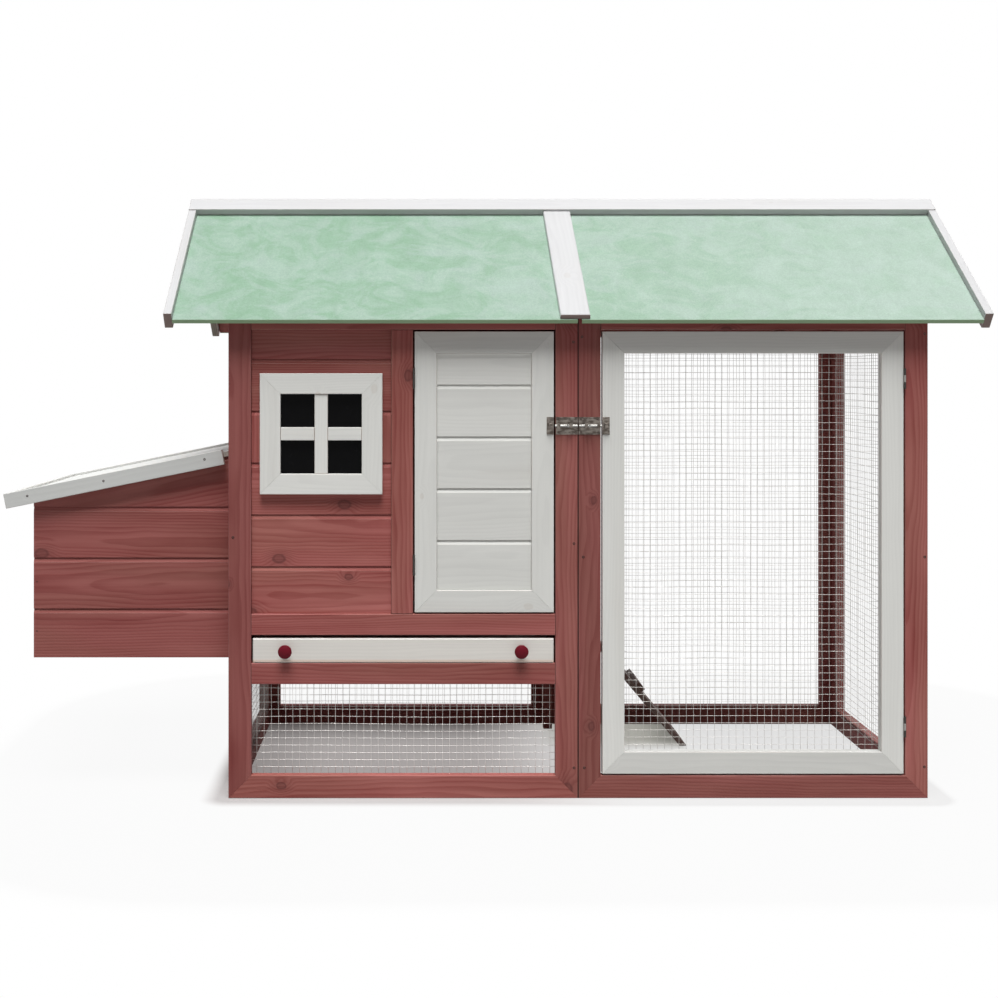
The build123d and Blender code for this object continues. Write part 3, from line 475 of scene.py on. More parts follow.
def mineral_felt():
    """Roofing felt: mint mineral granules, clouded and streaked by the pressing."""
    made, tree, shader = new_material("mint_felt")
    place = object_place(tree)
    cloud = noise(tree, place, *CLOUD_NOISE)
    wash = smooth(tree, noise(tree, place, *WASH_NOISE), *WASH_FADE)
    drag = noise(tree, place, *DRAG_NOISE)
    tone = speckle(tree, place, GRANULES)
    colour = mix(tree, smooth(tree, cloud, *CLOUD_FADE), *FELT_GREENS)
    colour = mix(tree, wash, colour, WASHED_FELT)
    # Paler towards the right end: painted light
    colour = mix(tree, smooth(tree, split(tree, place)[0], *FELT_PAINTED_LIGHT_REACH), colour, FELT_PAINTED_LIGHT)
    colour = shade(tree, colour, vary(tree, drag, DRAG_TONE, line(tree, tone, *GRANULE_TONE)))
    # Faces far from level take a lighter green: painted light
    colour = mix(tree, smooth(tree, upward(tree), *FELT_EDGE_PAINTED_LIGHT_LEAN), colour, FELT_EDGE_PAINTED_LIGHT)
    surface(tree, shader, colour, line(tree, tone, *FELT_ROUGH), FELT_GLOSS)
    bump(tree, shader, {"tone": tone, "cloud": cloud}, FELT_RELIEF, *FELT_BUMP)
    return made


# Zinc: its crystals, its dull patches and, on the latches, its tarnish
SHEET_SPANGLE = 420.0
WIRE_SPANGLE = 160.0
SCREW_SPANGLE = 500.0
SPANGLE_TONE = 0.16
DULL_NOISE = (90.0, 3.0)
DULL_TONE = (0.3, 0.76)
DULL_ROUGH = 0.3
TARNISH_NOISE = ((90.0, 190.0, 190.0), 2.0)
TARNISH_FADE = (0.34, 0.64)


def zinc(name, colour, rough, spangle=SHEET_SPANGLE, tarnish=None):
    """Galvanised steel with its crystal pattern and dull patches, or stained with tarnish."""
    made, tree, shader = new_material(name)
    place = object_place(tree)
    dull = noise(tree, place, *DULL_NOISE)
    if tarnish:
        stain = smooth(tree, noise(tree, place, *TARNISH_NOISE), *TARNISH_FADE)
        colour = mix(tree, stain, tarnish, colour)
    tone = speckle(tree, place, spangle)
    level = line(tree, tone, SPANGLE_TONE, line(tree, dull, *DULL_TONE))
    feed(tree, shader.inputs["Base Color"], shade(tree, colour, level))
    feed(tree, shader.inputs["Roughness"], vary(tree, dull, DULL_ROUGH, rough))
    shader.inputs["Metallic"].default_value = 1.0
    return made


felt = mineral_felt()
steel = zinc("galvanised_sheet", (0.3, 0.29, 0.275, 1), 0.45)
latch_steel = zinc("latch_plate", (0.225, 0.2, 0.176, 1), 0.4, tarnish=(0.085, 0.07, 0.06, 1))
bright_steel = zinc("bolt_steel", (0.3, 0.295, 0.28, 1), 0.4)
dark_steel = zinc("hinge_steel", (0.06, 0.055, 0.05, 1), 0.5)
wire = zinc("galvanised_wire", (0.7, 0.68, 0.652, 1), 0.5, WIRE_SPANGLE)
# Darker copies of the galvanised wire: painted shade for nets that get less light
door_wire_painted_shade = zinc("run_door_wire", (0.54, 0.522, 0.498, 1), 0.5, WIRE_SPANGLE)
run_wire = zinc("run_wire", (0.4, 0.386, 0.367, 1), 0.5, WIRE_SPANGLE)
side_wire_painted_shade = zinc("weathered_wire", (0.26, 0.25, 0.235, 1), 0.6, WIRE_SPANGLE)
# Near-black zinc: partly painted shade for the holes the screw heads sit in
screw_zinc_painted_shade = zinc("screw_zinc", (0.06, 0.04, 0.037, 1), 0.45, SCREW_SPANGLE)


def two_tone(name, grain, colours, rough, gloss):
    """A plain coat between two colours, with its roughness, led by one noise."""
    made, tree, shader = new_material(name)
    tone = noise(tree, object_place(tree), *grain)
    surface(tree, shader, mix(tree, tone, *colours), line(tree, tone, *rough), gloss)
    return made


# Acrylic made near-black as painted shade for the dark house seen through it, with a little dust,
# and dark red lacquer over turned wood
PANE_DUST = (45.0, 4.0)
PANE_PAINTED_SHADE_COLOURS = ((0.0018, 0.0018, 0.002, 1), (0.0045, 0.0045, 0.005, 1))
PANE_ROUGH = (0.18, 0.16)
PANE_GLOSS = 0.05
TURNED_GRAIN = ((90.0, 500.0, 90.0), 3.0)
KNOB_COLOURS = ((0.11, 0.005, 0.0125, 1), (0.165, 0.008, 0.019, 1))
KNOB_ROUGH = (0.16, 0.3)
KNOB_GLOSS = 0.12
pane = two_tone("dark_pane", PANE_DUST, PANE_PAINTED_SHADE_COLOURS, PANE_ROUGH, PANE_GLOSS)
lacquer = two_tone("knob_lacquer", TURNED_GRAIN, KNOB_COLOURS, KNOB_ROUGH, KNOB_GLOSS)

# Pieces that stand for CAD nodes: flat faces joined, edges eased

WELD = 0.00002
FLAT_ANGLE = math.radians(1.0)
SHARP_ANGLE = math.radians(30.0)
GROOVE_ANGLE = math.radians(8.0)
EASE_SHARE = 0.4
FLAT_WEIGHT = 100


def islands(bm):
    """Groups of connected vertices, in index order."""
    bm.verts.ensure_lookup_table()
    seen = set()
    for first in bm.verts:
        if first.index in seen:
            continue
        group, wait = [], [first]
        seen.add(first.index)
        while wait:
            vert = wait.pop()
            group.append(vert)
            for edge in vert.link_edges:
                other = edge.other_vert(vert)
                if other.index not in seen:
                    seen.add(other.index)
                    wait.append(other)
        yield group


def clean_solids(node):
    """A node's solids with their facets joined into flat faces."""
    bm = bmesh.new()
    bm.from_mesh(nodes[node].data)
    bmesh.ops.remove_doubles(bm, verts=bm.verts, dist=WELD)
    bmesh.ops.dissolve_limit(bm, angle_limit=FLAT_ANGLE, verts=bm.verts, edges=bm.edges)
    for items in (bm.verts, bm.edges, bm.faces):
        items.index_update()
    return bm


def slimness(face):
    """About how wide a face is across its longest side."""
    return face.calc_area() / max(e.calc_length() for e in face.edges)


def mark_edge(edge, weight, width, least=SHARP_ANGLE, eased=True):
    """Gives a sharp edge its share of the easing, less on slim faces, or leaves it crisp."""
    if len(edge.link_faces) != 2 or edge.calc_face_angle(0.0) <= least:
        return
    if eased:
        room = min(slimness(f) for f in edge.link_faces)
        edge[weight] = min(1.0, EASE_SHARE * room / width)
    else:
        edge.smooth = False


def finish_piece(bm, node, suffix, materials, width, segments):
    """Turns a dressed mesh into a node's piece, with the last material on its eased edges."""
    mesh = bpy.data.meshes.new(node + suffix)
    bm.to_mesh(mesh)
    bm.free()
    for made in materials:
        mesh.materials.append(made)
    mesh.shade_smooth()
    obj = new_object(node + suffix, mesh, node_body[node])
    eased = obj.modifiers.new("eased_edges", "BEVEL")
    eased.width = width
    eased.segments = segments
    eased.limit_method = "WEIGHT"
    eased.material = len(materials) - 1
    flat = obj.modifiers.new("flat_faces", "WEIGHTED_NORMAL")
    flat.weight = FLAT_WEIGHT
    flat.keep_sharp = True
    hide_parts(node)


# Wooden pieces. A face that leans between the two limits of MITRE against its board is a mitre
MITRE = (0.3, 0.95)
END_GRAIN = 0.75
TIMBER_SEGMENTS = 3
# Each board's own place in a trunk: its start along it and the pith's place beside it, in metres,
# and how far the grain may lean
PITH_ALONG = 40
PITH_ACROSS = 0.05
PITH_DEPTH = (0.02, 0.09)
GRAIN_LEAN = 0.012
# Shades of the front timbers, left to right and upwards: half is the middle shade. They are partly
# painted shade and light that even out how the lamps light each piece: the door top rails are
# darkened for the eave's shadow, and the top door board is lightened within it
FRONT_TONES_AND_PAINTED_SHADE = {
    "house_front_posts": (-0.8, -0.1),
    "run_front_frame": (-0.95, -0.5, 0.3, 0.6),
    "house_front_mullion": (0.7,),
    "house_front_rails": (0.7, 0.5),
    "nest_side_walls": (-0.25, -0.25, -0.2, -0.2, 0.0, 0.0, -0.1, -0.1),
    "run_door_frame": (0.2, -2.2, -1.8, 0.2),
    "house_door_frame": (-0.3, -1.0, -2.2, -0.3),
    "house_door_boards": (-1.3, -1.1, -1.1, 0.2, 1.4),
}


def board_axes(group):
    """Long axis, cross axis and face normal of one board, with its faces and edges."""
    edges = {e for v in group for e in v.link_edges}
    longest = max(edges, key=lambda e: (round(e.calc_length(), 6), -e.index))
    along = (longest.verts[1].co - longest.verts[0].co).normalized()
    faces = {f for v in group for f in v.link_faces}
    sides = [f for f in faces if abs(f.normal.dot(along)) < MITRE[0]]
    broad = max(sides, key=lambda f: (round(f.calc_area(), 8), -f.index))
    normal = (broad.normal - along * broad.normal.dot(along)).normalized()
    return along, normal.cross(along), normal, faces, edges


def wooden(node, materials, edge, grooved=False, worn=None):
    """A wooden node with eased edges, close mitres, and grain along each of its boards.

    Faces that look along worn's direction, to within its limit, take the second material.
    """
    rng = random.Random(f"{SEED}{node}")
    width = edge * MM
    bm = clean_solids(node)
    weight = bm.edges.layers.float.new("bevel_weight_edge")
    grain = bm.verts.layers.float_vector.new("grain")
    tint = bm.verts.layers.float.new("tint")
    end = bm.faces.layers.float.new("end")
    groups = list(islands(bm))
    middles = [sum((v.co for v in group), Vector()) / len(group) for group in groups]
    order = sorted(middles, key=lambda c: (round(c.x, 2), c.z))
    for group, centre in zip(groups, middles):
        along, across, normal, faces, edges = board_axes(group)
        pith = Vector((
            rng.uniform(0, PITH_ALONG),
            rng.uniform(-PITH_ACROSS, PITH_ACROSS),
            rng.choice((-1, 1)) * rng.uniform(*PITH_DEPTH),
        ))
        lean = rng.uniform(-GRAIN_LEAN, GRAIN_LEAN)
        board_tone_and_painted_shade = rng.random()
        # Listed front timbers take set shades, partly painted shade and light; the rest take a
        # random tone
        if node in FRONT_TONES_AND_PAINTED_SHADE:
            board_tone_and_painted_shade = FRONT_TONES_AND_PAINTED_SHADE[node][order.index(centre)]
        for v in group:
            place = v.co - centre
            run = place.dot(along)
            v[grain] = Vector((run, place.dot(across), place.dot(normal) + lean * run)) + pith
            v[tint] = board_tone_and_painted_shade
        for f in faces:
            f[end] = 1.0 if abs(f.normal.dot(along)) > END_GRAIN else 0.0
            if worn and f.normal.dot(worn[0]) > worn[1]:
                f.material_index = 1
        for e in edges:
            mitred = any(MITRE[0] < abs(f.normal.dot(along)) < MITRE[1] for f in e.link_faces)
            mark_edge(e, weight, width, GROOVE_ANGLE if grooved else SHARP_ANGLE, not mitred)
    finish_piece(bm, node, "_timber", materials, width, TIMBER_SEGMENTS)


SEAM_BATTENS = "house_front_posts house_back_frame run_front_frame run_back_frame".split()
RED_BATTENS = (
    "house_front_rails tray_rails house_front_mullion house_side_frame divider_frame"
    " run_side_frame gable_rafters ridge_beam tray_runners perch_brackets roost_perch"
).split()
RED_BOARDS = (
    "house_front_boards house_back_boards house_side_boards divider_boards gable_boards"
    " nest_side_walls nest_end_wall"
).split()
RED_SHEETS = "roof_boards nest_floor nest_partition".split()
RAMP_PIECES = "ramp_board ramp_cleats".split()
WHITE_FRAMES = "house_door_frame run_door_frame window_frame window_muntins".split()
TRIM_PIECES = "roof_joint_battens ridge_caps".split()
LID_PIECES = "nest_lid_trims nest_lid_board".split()
# Widths of the eased edges, in millimetres
BATTEN_EASE = 1.5
BOARD_EASE = 0.9
SHEET_EASE = 0.6
RAMP_EASE = 0.8
FRAME_EASE = 1.3
TRAY_EASE = 0.8
TRIM_EASE = 1.1
# Faces that take the second material: the tray front's worn lower bevel, and the undersides of the
# barge boards, made dark as painted shade
TRAY_BEVEL = (Vector((0, -0.7, -0.7)), 0.9)
BARGE_UNDERSIDE_PAINTED_SHADE = (Vector((0, 0, -1)), 0.7)
for name in SEAM_BATTENS:
    wooden(name, (red_seam_painted_shade, red_edge_seam_painted_shade), BATTEN_EASE)
for name in RED_BATTENS:
    wooden(name, (red, red_edge), BATTEN_EASE)
# The boards' upturned edges carry a painted highlight
for name in RED_BOARDS:
    wooden(name, (red, red_painted_highlight), BOARD_EASE, grooved=True)
for name in RED_SHEETS:
    wooden(name, (red, red_edge), SHEET_EASE)
# The ramp takes the darker stain: painted shade
for name in RAMP_PIECES:
    wooden(name, (ramp_stain_painted_shade, ramp_stain_painted_shade), RAMP_EASE)
for name in WHITE_FRAMES:
    wooden(name, (white, white_edge_painted_highlight), FRAME_EASE)
wooden("house_door_boards", (white, white_edge_painted_highlight), BOARD_EASE, grooved=True)
wooden("tray_front", (tray_white, tan_edge, white_edge_painted_highlight), TRAY_EASE, worn=TRAY_BEVEL)
for name in TRIM_PIECES:
    wooden(name, (trim_painted_shade, trim_edge_painted_shade), TRIM_EASE)
# The barge boards' undersides take the dark coat: painted shade
BARGE_COATS = (trim_painted_shade, bare_wood, trim_edge_painted_shade)
wooden("barge_boards", BARGE_COATS, TRIM_EASE, worn=BARGE_UNDERSIDE_PAINTED_SHADE)
for name in LID_PIECES:
    wooden(name, (lid_paint_painted_shade, lid_edge_painted_shade), TRIM_EASE)

METAL_EASE = 0.4
METAL_SEGMENTS = 2
FELT_EASE = 1.6
FELT_SEGMENTS = 3
METAL_PIECES = {
    steel: "tray_pan nest_lid_hinge_leaves ramp_hinge_leaves run_door_hinge_leaves",
    latch_steel: "bolt_plates house_door_keeper run_door_keeper",
    bright_steel: "house_door_bolt run_door_bolt",
    dark_steel: "hinge_frame_leaves house_door_hinge_leaves",
}


def dressed(node, material, edge=METAL_EASE, segments=METAL_SEGMENTS):
    """A sheet or metal node with its sharp edges eased."""
    width = edge * MM
    bm = clean_solids(node)
    weight = bm.edges.layers.float.new("bevel_weight_edge")
    for e in bm.edges:
        mark_edge(e, weight, width)
    finish_piece(bm, node, "_dressed", (material,), width, segments)


for metal, names in METAL_PIECES.items():
    for name in names.split():
        dressed(name, metal)
dressed("roof_felt", felt, FELT_EASE, FELT_SEGMENTS)
dressed("window_pane", pane)

# Welded mesh at its true pitch in place of each net

WIRE_R = 0.00038
WIRE_PITCH = 0.014
WIRE_SIDES = 5
WIRE_STEP = 0.028
WIRE_LAP = 0.9
SWAY = 0.0004
SWAY_TERMS = 7
SWAY_LENGTH = (0.12, 0.5)
SWAY_DEPTH = 0.35
FIXED_MARGIN = 0.05
# Nets that take a darker copy of the wire: painted shade
NET_WIRES_PAINTED_SHADE = {
    "house_side_mesh": side_wire_painted_shade,
    "run_back_mesh": run_wire,
    "run_door_mesh": door_wire_painted_shade,
    "run_side_mesh": run_wire,
}


class Sway:
    """A gentle, repeatable unevenness over a mesh panel, the same for both sets of wires."""

    def __init__(self, rng):
        self.terms = []
        for _ in range(SWAY_TERMS):
            span = rng.uniform(*SWAY_LENGTH)
            turn = rng.uniform(0, math.tau)
            wave = (math.cos(turn) * math.tau / span, math.sin(turn) * math.tau / span)
            phase = rng.uniform(0, math.tau)
            pull = np.array([rng.uniform(-1, 1) for _ in range(3)])
            self.terms.append((*wave, phase, pull))

    def at(self, x, z):
        """Shifts at places over the panel."""
        total = np.zeros((len(x), 3))
        for kx, kz, phase, pull in self.terms:
            total += np.sin(kx * x + kz * z + phase)[:, None] * pull
        return total * SWAY


def circle(count):
    """Cosines and sines round a full turn."""
    turns = [math.tau * k / count for k in range(count)]
    return [(math.cos(t), math.sin(t)) for t in turns]


def skin(rings, count, start, faces):
    """Faces of a closed skin over rings of vertices, with a cap at each end."""
    for i in range(rings - 1):
        for k in range(count):
            a = start + i * count + k
            b = start + i * count + (k + 1) % count
            faces.append((a, b, b + count, a + count))
    last = start + (rings - 1) * count
    faces.append(tuple(start + k for k in reversed(range(count))))
    faces.append(tuple(last + k for k in range(count)))


def round_piece(name, node, verts, faces, material):
    """A smooth mesh as the piece that stands for a node."""
    mesh = bpy.data.meshes.new(name)
    mesh.from_pydata(verts, [], faces)
    mesh.materials.append(material)
    mesh.shade_smooth()
    obj = new_object(name, mesh, node_body[node])
    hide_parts(node)


def wire_mesh(node):
    """Welded wires over a net's own area, the upright ones on one side of the level ones."""
    low, high = (np.array(corner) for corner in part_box(node))
    thin = int(np.argmin(high - low))
    wide = 1 - thin
    sway = Sway(random.Random(f"{SEED}{node}wire"))
    unit = np.eye(3)
    middle = (low[thin] + high[thin]) / 2
    ring = circle(WIRE_SIDES)
    verts, faces = [], []
    for run, other, side in ((2, wide, 1), (wide, 2, -1)):
        count = round((high[other] - low[other]) / WIRE_PITCH)
        spare = (high[other] - low[other] - (count - 1) * WIRE_PITCH) / 2
        steps = max(2, round((high[run] - low[run]) / WIRE_STEP))
        for k in range(count):
            path = np.zeros((steps + 1, 3))
            path[:, run] = np.linspace(low[run] + WIRE_R, high[run] - WIRE_R, steps + 1)
            path[:, other] = low[other] + spare + k * WIRE_PITCH
            path[:, thin] = middle + side * WIRE_R * WIRE_LAP
            drift = sway.at(path[:, wide], path[:, 2])
            edge = np.minimum(
                np.minimum(path[:, wide] - low[wide], high[wide] - path[:, wide]),
                np.minimum(path[:, 2] - low[2], high[2] - path[:, 2]),
            )
            drift *= np.clip(edge / FIXED_MARGIN, 0, 1)[:, None]
            path[:, wide] += drift[:, 0]
            path[:, 2] += drift[:, 1]
            path[:, thin] += drift[:, 2] * SWAY_DEPTH
            start = len(verts)
            for point in path:
                for c, s in ring:
                    verts.append(tuple(point + WIRE_R * (c * unit[other] + s * unit[thin])))
            skin(len(path), WIRE_SIDES, start, faces)
    material = NET_WIRES_PAINTED_SHADE.get(node, wire)
    round_piece(node + "_wires", node, verts, faces, material)


for name in sorted(n for n in nodes if n.endswith("_mesh")):
    wire_mesh(name)

# Turned knobs on the tray: radius and distance out from the board, in millimetres

KNOB_STEPS = 48
KNOB_PROFILE = [
    (6.8, 0.0), (6.6, 2.0), (6.4, 5.0), (6.7, 7.2), (8.0, 8.6), (10.5, 9.7),
    (12.6, 10.8), (13.4, 12.2), (13.5, 13.6), (13.2, 14.8), (12.2, 15.8), (11.2, 16.1),
    (10.7, 16.0), (9.8, 16.5), (7.5, 17.3), (4.5, 17.8), (1.8, 17.98),
]


def turned_knobs(node):
    """Two lathe-turned knobs where the tray's knobs are, with a bead at the rim of the crown."""
    low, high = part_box(node)
    radius = (high.z - low.z) / 2
    verts, faces = [], []
    for x in (low.x + radius, high.x - radius):
        start = len(verts)
        for r, out in KNOB_PROFILE:
            for c, s in circle(KNOB_STEPS):
                verts.append((x + r * MM * c, high.y - out * MM, low.z + radius + r * MM * s))
        skin(len(KNOB_PROFILE), KNOB_STEPS, start, faces)
    round_piece("turned_knobs", node, verts, faces, lacquer)


turned_knobs("tray_knobs")

# Screws: round heads with a cross recess, sunk nearly flush. Shares are of the head's radius,
# radii are in millimetres

HEAD_STEPS = 24
RECESS = (0.62, 0.166)
RECESS_DEEP = 0.3
HEAD_PROUD = 0.12
HEAD_RIM = 0.9
HEAD_SUNK = 1.0
POST_SCREW = 2.6
TRIM_SCREW = 2.3
NEST_NAIL = 1.5
PLATE_SCREW = 1.9
LEAF_SCREW = 1.7
FORWARD = Vector((0, -1, 0))
UP = Vector((0, 0, 1))


def add_screw(bm, place, out, radius, rng):
    """One closed screw head at a place on a face, its axis along the face's outward normal."""
    spin = Matrix.Rotation(rng.uniform(0, math.tau), 3, "Z")
    turn = out.to_track_quat("Z", "Y").to_matrix() @ spin
    ring = circle(HEAD_STEPS)

    def vert(x, y, z):
        return bm.verts.new(place + turn @ Vector((x * radius, y * radius, z * radius)))

    foot = [vert(c, s, -HEAD_SUNK) for c, s in ring]
    skirt = [vert(c, s, 0.0) for c, s in ring]
    brow = [vert(c * HEAD_RIM, s * HEAD_RIM, HEAD_PROUD) for c, s in ring]
    long, short = RECESS
    corners = []
    for c, s in circle(4):
        for x, y in ((long, -short), (long, short), (short, short)):
            corners.append((x * c - y * s, x * s + y * c))
    lip = [vert(x, y, HEAD_PROUD) for x, y in corners]
    pit = [vert(x, y, HEAD_PROUD - RECESS_DEEP) for x, y in corners]
    for low, high in ((foot, skirt), (skirt, brow)):
        for k in range(HEAD_STEPS):
            n = (k + 1) % HEAD_STEPS
            bm.faces.new((low[k], low[n], high[n], high[k]))
    for j in range(len(lip)):
        n = (j + 1) % len(lip)
        outer = [brow[(2 * j + k) % HEAD_STEPS] for k in (-1, 0, 1)]
        bm.faces.new((lip[j], *outer, lip[n]))
        bm.faces.new((pit[j], lip[j], lip[n], pit[n]))
    bm.faces.new(pit)
    bm.faces.new(list(reversed(foot)))


def screws(name, body, spots, radius):
    """A set of screw heads on one body: each spot is a place and an outward normal."""
    rng = random.Random(f"{SEED}{name}")
    bm = bmesh.new()
    for place, out in spots:
        add_screw(bm, place, out, radius * MM, rng)
    bmesh.ops.recalc_face_normals(bm, faces=bm.faces)
    mesh = bpy.data.meshes.new(name)
    bm.to_mesh(mesh)
    bm.free()
    mesh.materials.append(screw_zinc_painted_shade)
    obj = new_object(name, mesh, body)


def on_front(places, y=FRONT_Y):
    """Spots on a face that looks forward: millimetres from the seam and from the ground."""
    return [(Vector((SEAM_X + x * MM, y, z * MM)), FORWARD) for x, z in places]


POST_SCREWS = (
    (-671, 507), (-9, 887), (-8, 495), (-8, 59), (7.5, 897),
    (10, 469), (12, 59), (674, 903), (674, 469), (673, 61),
)
TRIM_SCREWS = ((-1081, 584.5), (-931, 614), (-732, 656.5))
NEST_NAILS = ((-1067, 413), (-1067, 315))
trim_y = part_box("nest_lid_trims")[0].y
nest_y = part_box("nest_side_walls")[0].y
screws("post_screws", "coop", on_front(POST_SCREWS), POST_SCREW)
screws("lid_trim_screws", "nest_lid", on_front(TRIM_SCREWS, trim_y), TRIM_SCREW)
screws("nest_nails", "coop", on_front(NEST_NAILS, nest_y), NEST_NAIL)

# Thickness of the bolt plates, and how far their screws stand in from their edges
PLATE_T = 0.0012
PLATE_INSET = 0.0045


def plate_screws(node, body):
    """Screws at the corners of each plate of a node on the front face."""
    spots = []
    bm = clean_solids(node)
    for group in islands(bm):
        xs = [v.co.x for v in group]
        zs = [v.co.z for v in group]
        face = max(v.co.y for v in group) - PLATE_T
        for x in sorted({min(xs) + PLATE_INSET, max(xs) - PLATE_INSET}):
            for z in (min(zs) + PLATE_INSET, max(zs) - PLATE_INSET):
                spots.append((Vector((x, face, z)), FORWARD))
    bm.free()
    screws(node + "_screws", body, spots, PLATE_SCREW)


plate_screws("bolt_plates", "coop")

# Hinge leaves of the lid and the ramp: where their screws stand from the pin, and their slopes
LEAF_MIDDLE = 0.0096
LEAF_FACE = 0.0014
LEAF_STEP = 0.013
LID_SLOPE = math.radians(11.45)
RAMP_SLOPE = math.radians(50.0)


def leaf_screws(name, node, joint, body, leaf_out, face_out):
    """Three screws in each hinge leaf of a node, given the ways along the leaf and out of it."""
    bm = clean_solids(node)
    levels = [(min(v.co.y for v in g) + max(v.co.y for v in g)) / 2 for g in islands(bm)]
    bm.free()
    spots = []
    for level in levels:
        for step in (-LEAF_STEP, 0.0, LEAF_STEP):
            place = pins[joint] + leaf_out * LEAF_MIDDLE - face_out * LEAF_FACE
            place.y = level + step
            spots.append((place, face_out))
    screws(name, body, spots, LEAF_SCREW)


for node, joint, slope, hand in (
    ("nest_lid_hinge_leaves", "nest_lid_lift", LID_SLOPE, -1),
    ("ramp_hinge_leaves", "ramp_lift", RAMP_SLOPE, 1),
):
    down = Vector((hand * math.cos(slope), 0, -math.sin(slope)))
    square = Vector((hand * math.sin(slope), 0, math.cos(slope)))
    leaf_screws(node + "_screws", node, joint, node_body[node], down, square)
    leaf_screws(joint + "_frame_screws", node, joint, "coop", UP, Vector((hand, 0, 0)))

# Stage: pale floor, white surround, soft light

FLOOR_COLOURS = ((0.335, 0.33, 0.33, 1), (0.365, 0.36, 0.36, 1))
FLOOR_SPECK = (60.0, 3.0)
FLOOR_ROUGH = 0.8
FLOOR_GLOSS = 0.1
FLOOR_HALF = 12.0
FLOOR_DROP = 0.0005
# How bright the floor looks: painted shade below the house, dimmer by depth and towards the left
HOUSE_PAINTED_SHADE_GLOW = (0.1, 0.37)
HOUSE_PAINTED_SHADE_DEPTH = (0.62, 0.36)
HOUSE_PAINTED_SHADE_LEFT = (-0.66, -0.48, 0.74, 1.0)
HOUSE_PAINTED_SHADE_TINT = (1.0, 0.94, 0.925, 1)
# Brighter in the run, past the seam: painted light on the floor under the run's roof, a little
# below the white round the coop
RUN_PAINTED_LIGHT_SEAM = (-0.22, 0.14)
RUN_PAINTED_LIGHT_GLOW = 0.715
# Dim again behind the ramp's foot: the ramp's painted shadow
RAMP_PAINTED_SHADOW_GLOW = (0.36, 0.19)
RAMP_PAINTED_SHADOW_TINT = (1.0, 0.995, 0.9, 1)
RAMP_PAINTED_SHADOW_REACH = 0.1
RAMP_PAINTED_SHADOW_SIDE = (-0.05, 0.06)
RAMP_PAINTED_SHADOW_TOE = 0.012
RAMP_PAINTED_SHADOW_WALL = (-0.06, 0.06)
# Nearly white round the coop, and white further off
GLOW_NEAR = 0.94
GLOW_EDGE = 0.06
GLOW_FAR = (0.1, 0.6)
WORLD_LIGHT = 0.06


def seen_directly(tree):
    """1 for what is seen, directly or in metal and glass, and 0 for what lights the object."""
    path = put(tree, "LightPath").outputs
    seen = calc(tree, "MAXIMUM", path["Is Camera Ray"], path["Is Glossy Ray"])
    return calc(tree, "MAXIMUM", seen, path["Is Transmission Ray"])


def floor_glow(tree, place):
    """How bright the floor looks, and its colour, by place below and round the coop: painted shade
    below the house, painted light in the run, and the ramp's painted shadow.
    """
    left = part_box("house_front_posts")[0]
    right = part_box("run_back_frame")[1]
    middle = ((left.x + right.x) / 2, (left.y + right.y) / 2, 0.0)
    half = ((right.x - left.x) / 2, (right.y - left.y) / 2, 1.0)
    apart = vectors(tree, "ABSOLUTE", vectors(tree, "SUBTRACT", place, middle))
    apart = vectors(tree, "MAXIMUM", vectors(tree, "SUBTRACT", apart, half))
    away = length(tree, apart)
    along, back, _ = split(tree, place)
    along = calc(tree, "SUBTRACT", along, SEAM_X)
    glow = smooth(tree, calc(tree, "SUBTRACT", back, FRONT_Y), *HOUSE_PAINTED_SHADE_DEPTH, *HOUSE_PAINTED_SHADE_GLOW)
    glow = times(tree, glow, smooth(tree, along, *HOUSE_PAINTED_SHADE_LEFT))
    run = smooth(tree, along, *RUN_PAINTED_LIGHT_SEAM)
    glow = line(tree, run, calc(tree, "SUBTRACT", RUN_PAINTED_LIGHT_GLOW, glow), glow)
    edge = smooth(tree, away, 0.0, GLOW_EDGE)
    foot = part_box("ramp_board")[1].x - SEAM_X
    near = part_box("ramp_board")[0].y
    # Where the ramp's painted shadow lies on the floor
    below = smooth(tree, back, near + RAMP_PAINTED_SHADOW_SIDE[0], near + RAMP_PAINTED_SHADOW_SIDE[1])
    below = times(tree, below, smooth(tree, along, foot, foot - RAMP_PAINTED_SHADOW_TOE))
    below = times(tree, below, smooth(tree, along, *RAMP_PAINTED_SHADOW_WALL))
    below = times(tree, below, calc(tree, "SUBTRACT", 1.0, edge))
    dim = smooth(tree, along, foot - RAMP_PAINTED_SHADOW_REACH, foot, *RAMP_PAINTED_SHADOW_GLOW)
    less = calc(tree, "MINIMUM", calc(tree, "SUBTRACT", dim, glow), 0.0)
    glow = line(tree, below, less, glow)
    tint = mix(tree, calc(tree, "MAXIMUM", run, edge), HOUSE_PAINTED_SHADE_TINT, WHITE)
    tint = mix(tree, below, tint, RAMP_PAINTED_SHADOW_TINT)
    glow = calc(tree, "MAXIMUM", glow, times(tree, edge, GLOW_NEAR))
    return calc(tree, "MAXIMUM", glow, smooth(tree, away, *GLOW_FAR)), tint


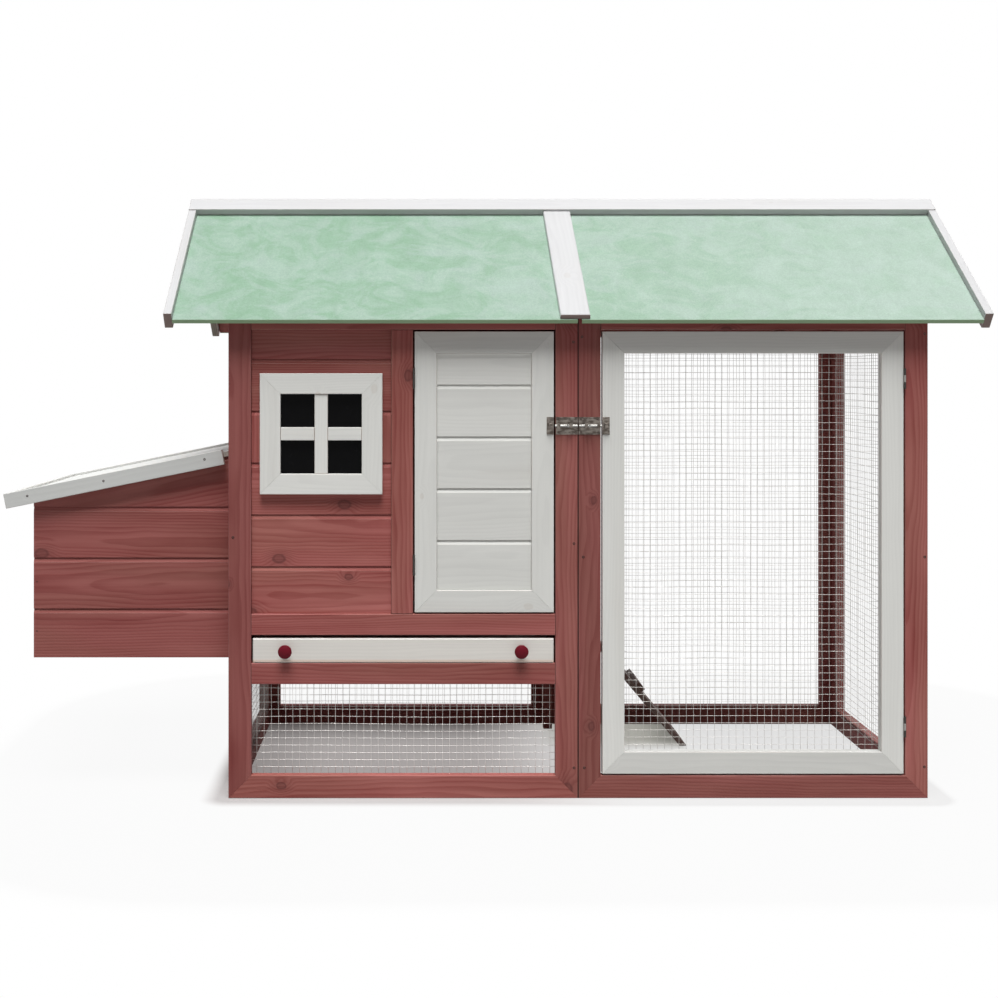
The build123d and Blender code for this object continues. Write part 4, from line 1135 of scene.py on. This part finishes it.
def stage_floor():
    """A pale floor that fades into the white surround, with painted shade below the house and the
    ramp's painted shadow.
    """
    made, tree, shader = new_material("pale_floor")
    place = object_place(tree)
    speck = noise(tree, place, *FLOOR_SPECK)
    surface(tree, shader, mix(tree, speck, *FLOOR_COLOURS), FLOOR_ROUGH, FLOOR_GLOSS)
    glow, tint = floor_glow(tree, place)
    glow = times(tree, glow, seen_directly(tree))
    light = put(tree, "Emission", {"Color": tint, "Strength": 1.0}).outputs[0]
    both = put(tree, "MixShader", {0: glow, 1: shader.outputs[0], 2: light}).outputs[0]
    out = next(n for n in tree.nodes if n.type == "OUTPUT_MATERIAL")
    tree.links.new(both, out.inputs[0])
    mesh = bpy.data.meshes.new("floor")
    corners = [(x * FLOOR_HALF, y * FLOOR_HALF, 0) for x, y in ((-1, -1), (1, -1), (1, 1), (-1, 1))]
    mesh.from_pydata(corners, [], [(0, 1, 2, 3)])
    mesh.materials.append(made)
    floor = bpy.data.objects.new("floor", mesh)
    bpy.context.scene.collection.objects.link(floor)
    floor.location.z = -FLOOR_DROP


def surround():
    """White to the eye and in reflections, a softer grey as light."""
    world = bpy.data.worlds.new("studio")
    bpy.context.scene.world = world
    world.use_nodes = True
    tree = world.node_tree
    tree.nodes.clear()
    strength = line(tree, seen_directly(tree), 1.0 - WORLD_LIGHT, WORLD_LIGHT)
    back = put(tree, "Background", {"Color": WHITE, "Strength": strength})
    out = tree.nodes.new("ShaderNodeOutputWorld")
    tree.links.new(back.outputs[0], out.inputs[0])


# Lamps: height and turn in degrees, and power
UPRIGHT = 90.0
LAMP_RISE = 69.5
LAMP_WIDTH = 27.0
LAMP_POWER = 1.46
LAMP_TURNS = (-26.0, 0.0, 26.0)
BACK_LAMP = (40.0, 160.0, 0.5)


def soft_lamp(name, rise, turn, power):
    """A broad, distant lamp: how high it stands, its turn to the right of the front, its power."""
    lamp = bpy.data.lights.new(name, "SUN")
    lamp.energy = power
    lamp.angle = math.radians(LAMP_WIDTH)
    obj = bpy.data.objects.new(name, lamp)
    obj.rotation_euler = (math.radians(UPRIGHT - rise), 0.0, math.radians(turn))
    bpy.context.scene.collection.objects.link(obj)


stage_floor()
surround()
for number, turn in enumerate(LAMP_TURNS):
    soft_lamp(f"front_lamp_{number}", LAMP_RISE, turn, LAMP_POWER)
soft_lamp("back_lamp", *BACK_LAMP)

# Camera
lens = bpy.data.cameras.new("view")
lens.lens = LENS_MM
lens.sensor_width = SENSOR_MM
lens.shift_x = SHIFT_X
lens.shift_y = SHIFT_Y
camera = bpy.data.objects.new("view", lens)
camera.location = EYE
camera.rotation_euler = (math.radians(UPRIGHT), 0, 0)
bpy.context.scene.collection.objects.link(camera)
bpy.context.scene.camera = camera
bpy.context.scene.view_settings.view_transform = "Standard"
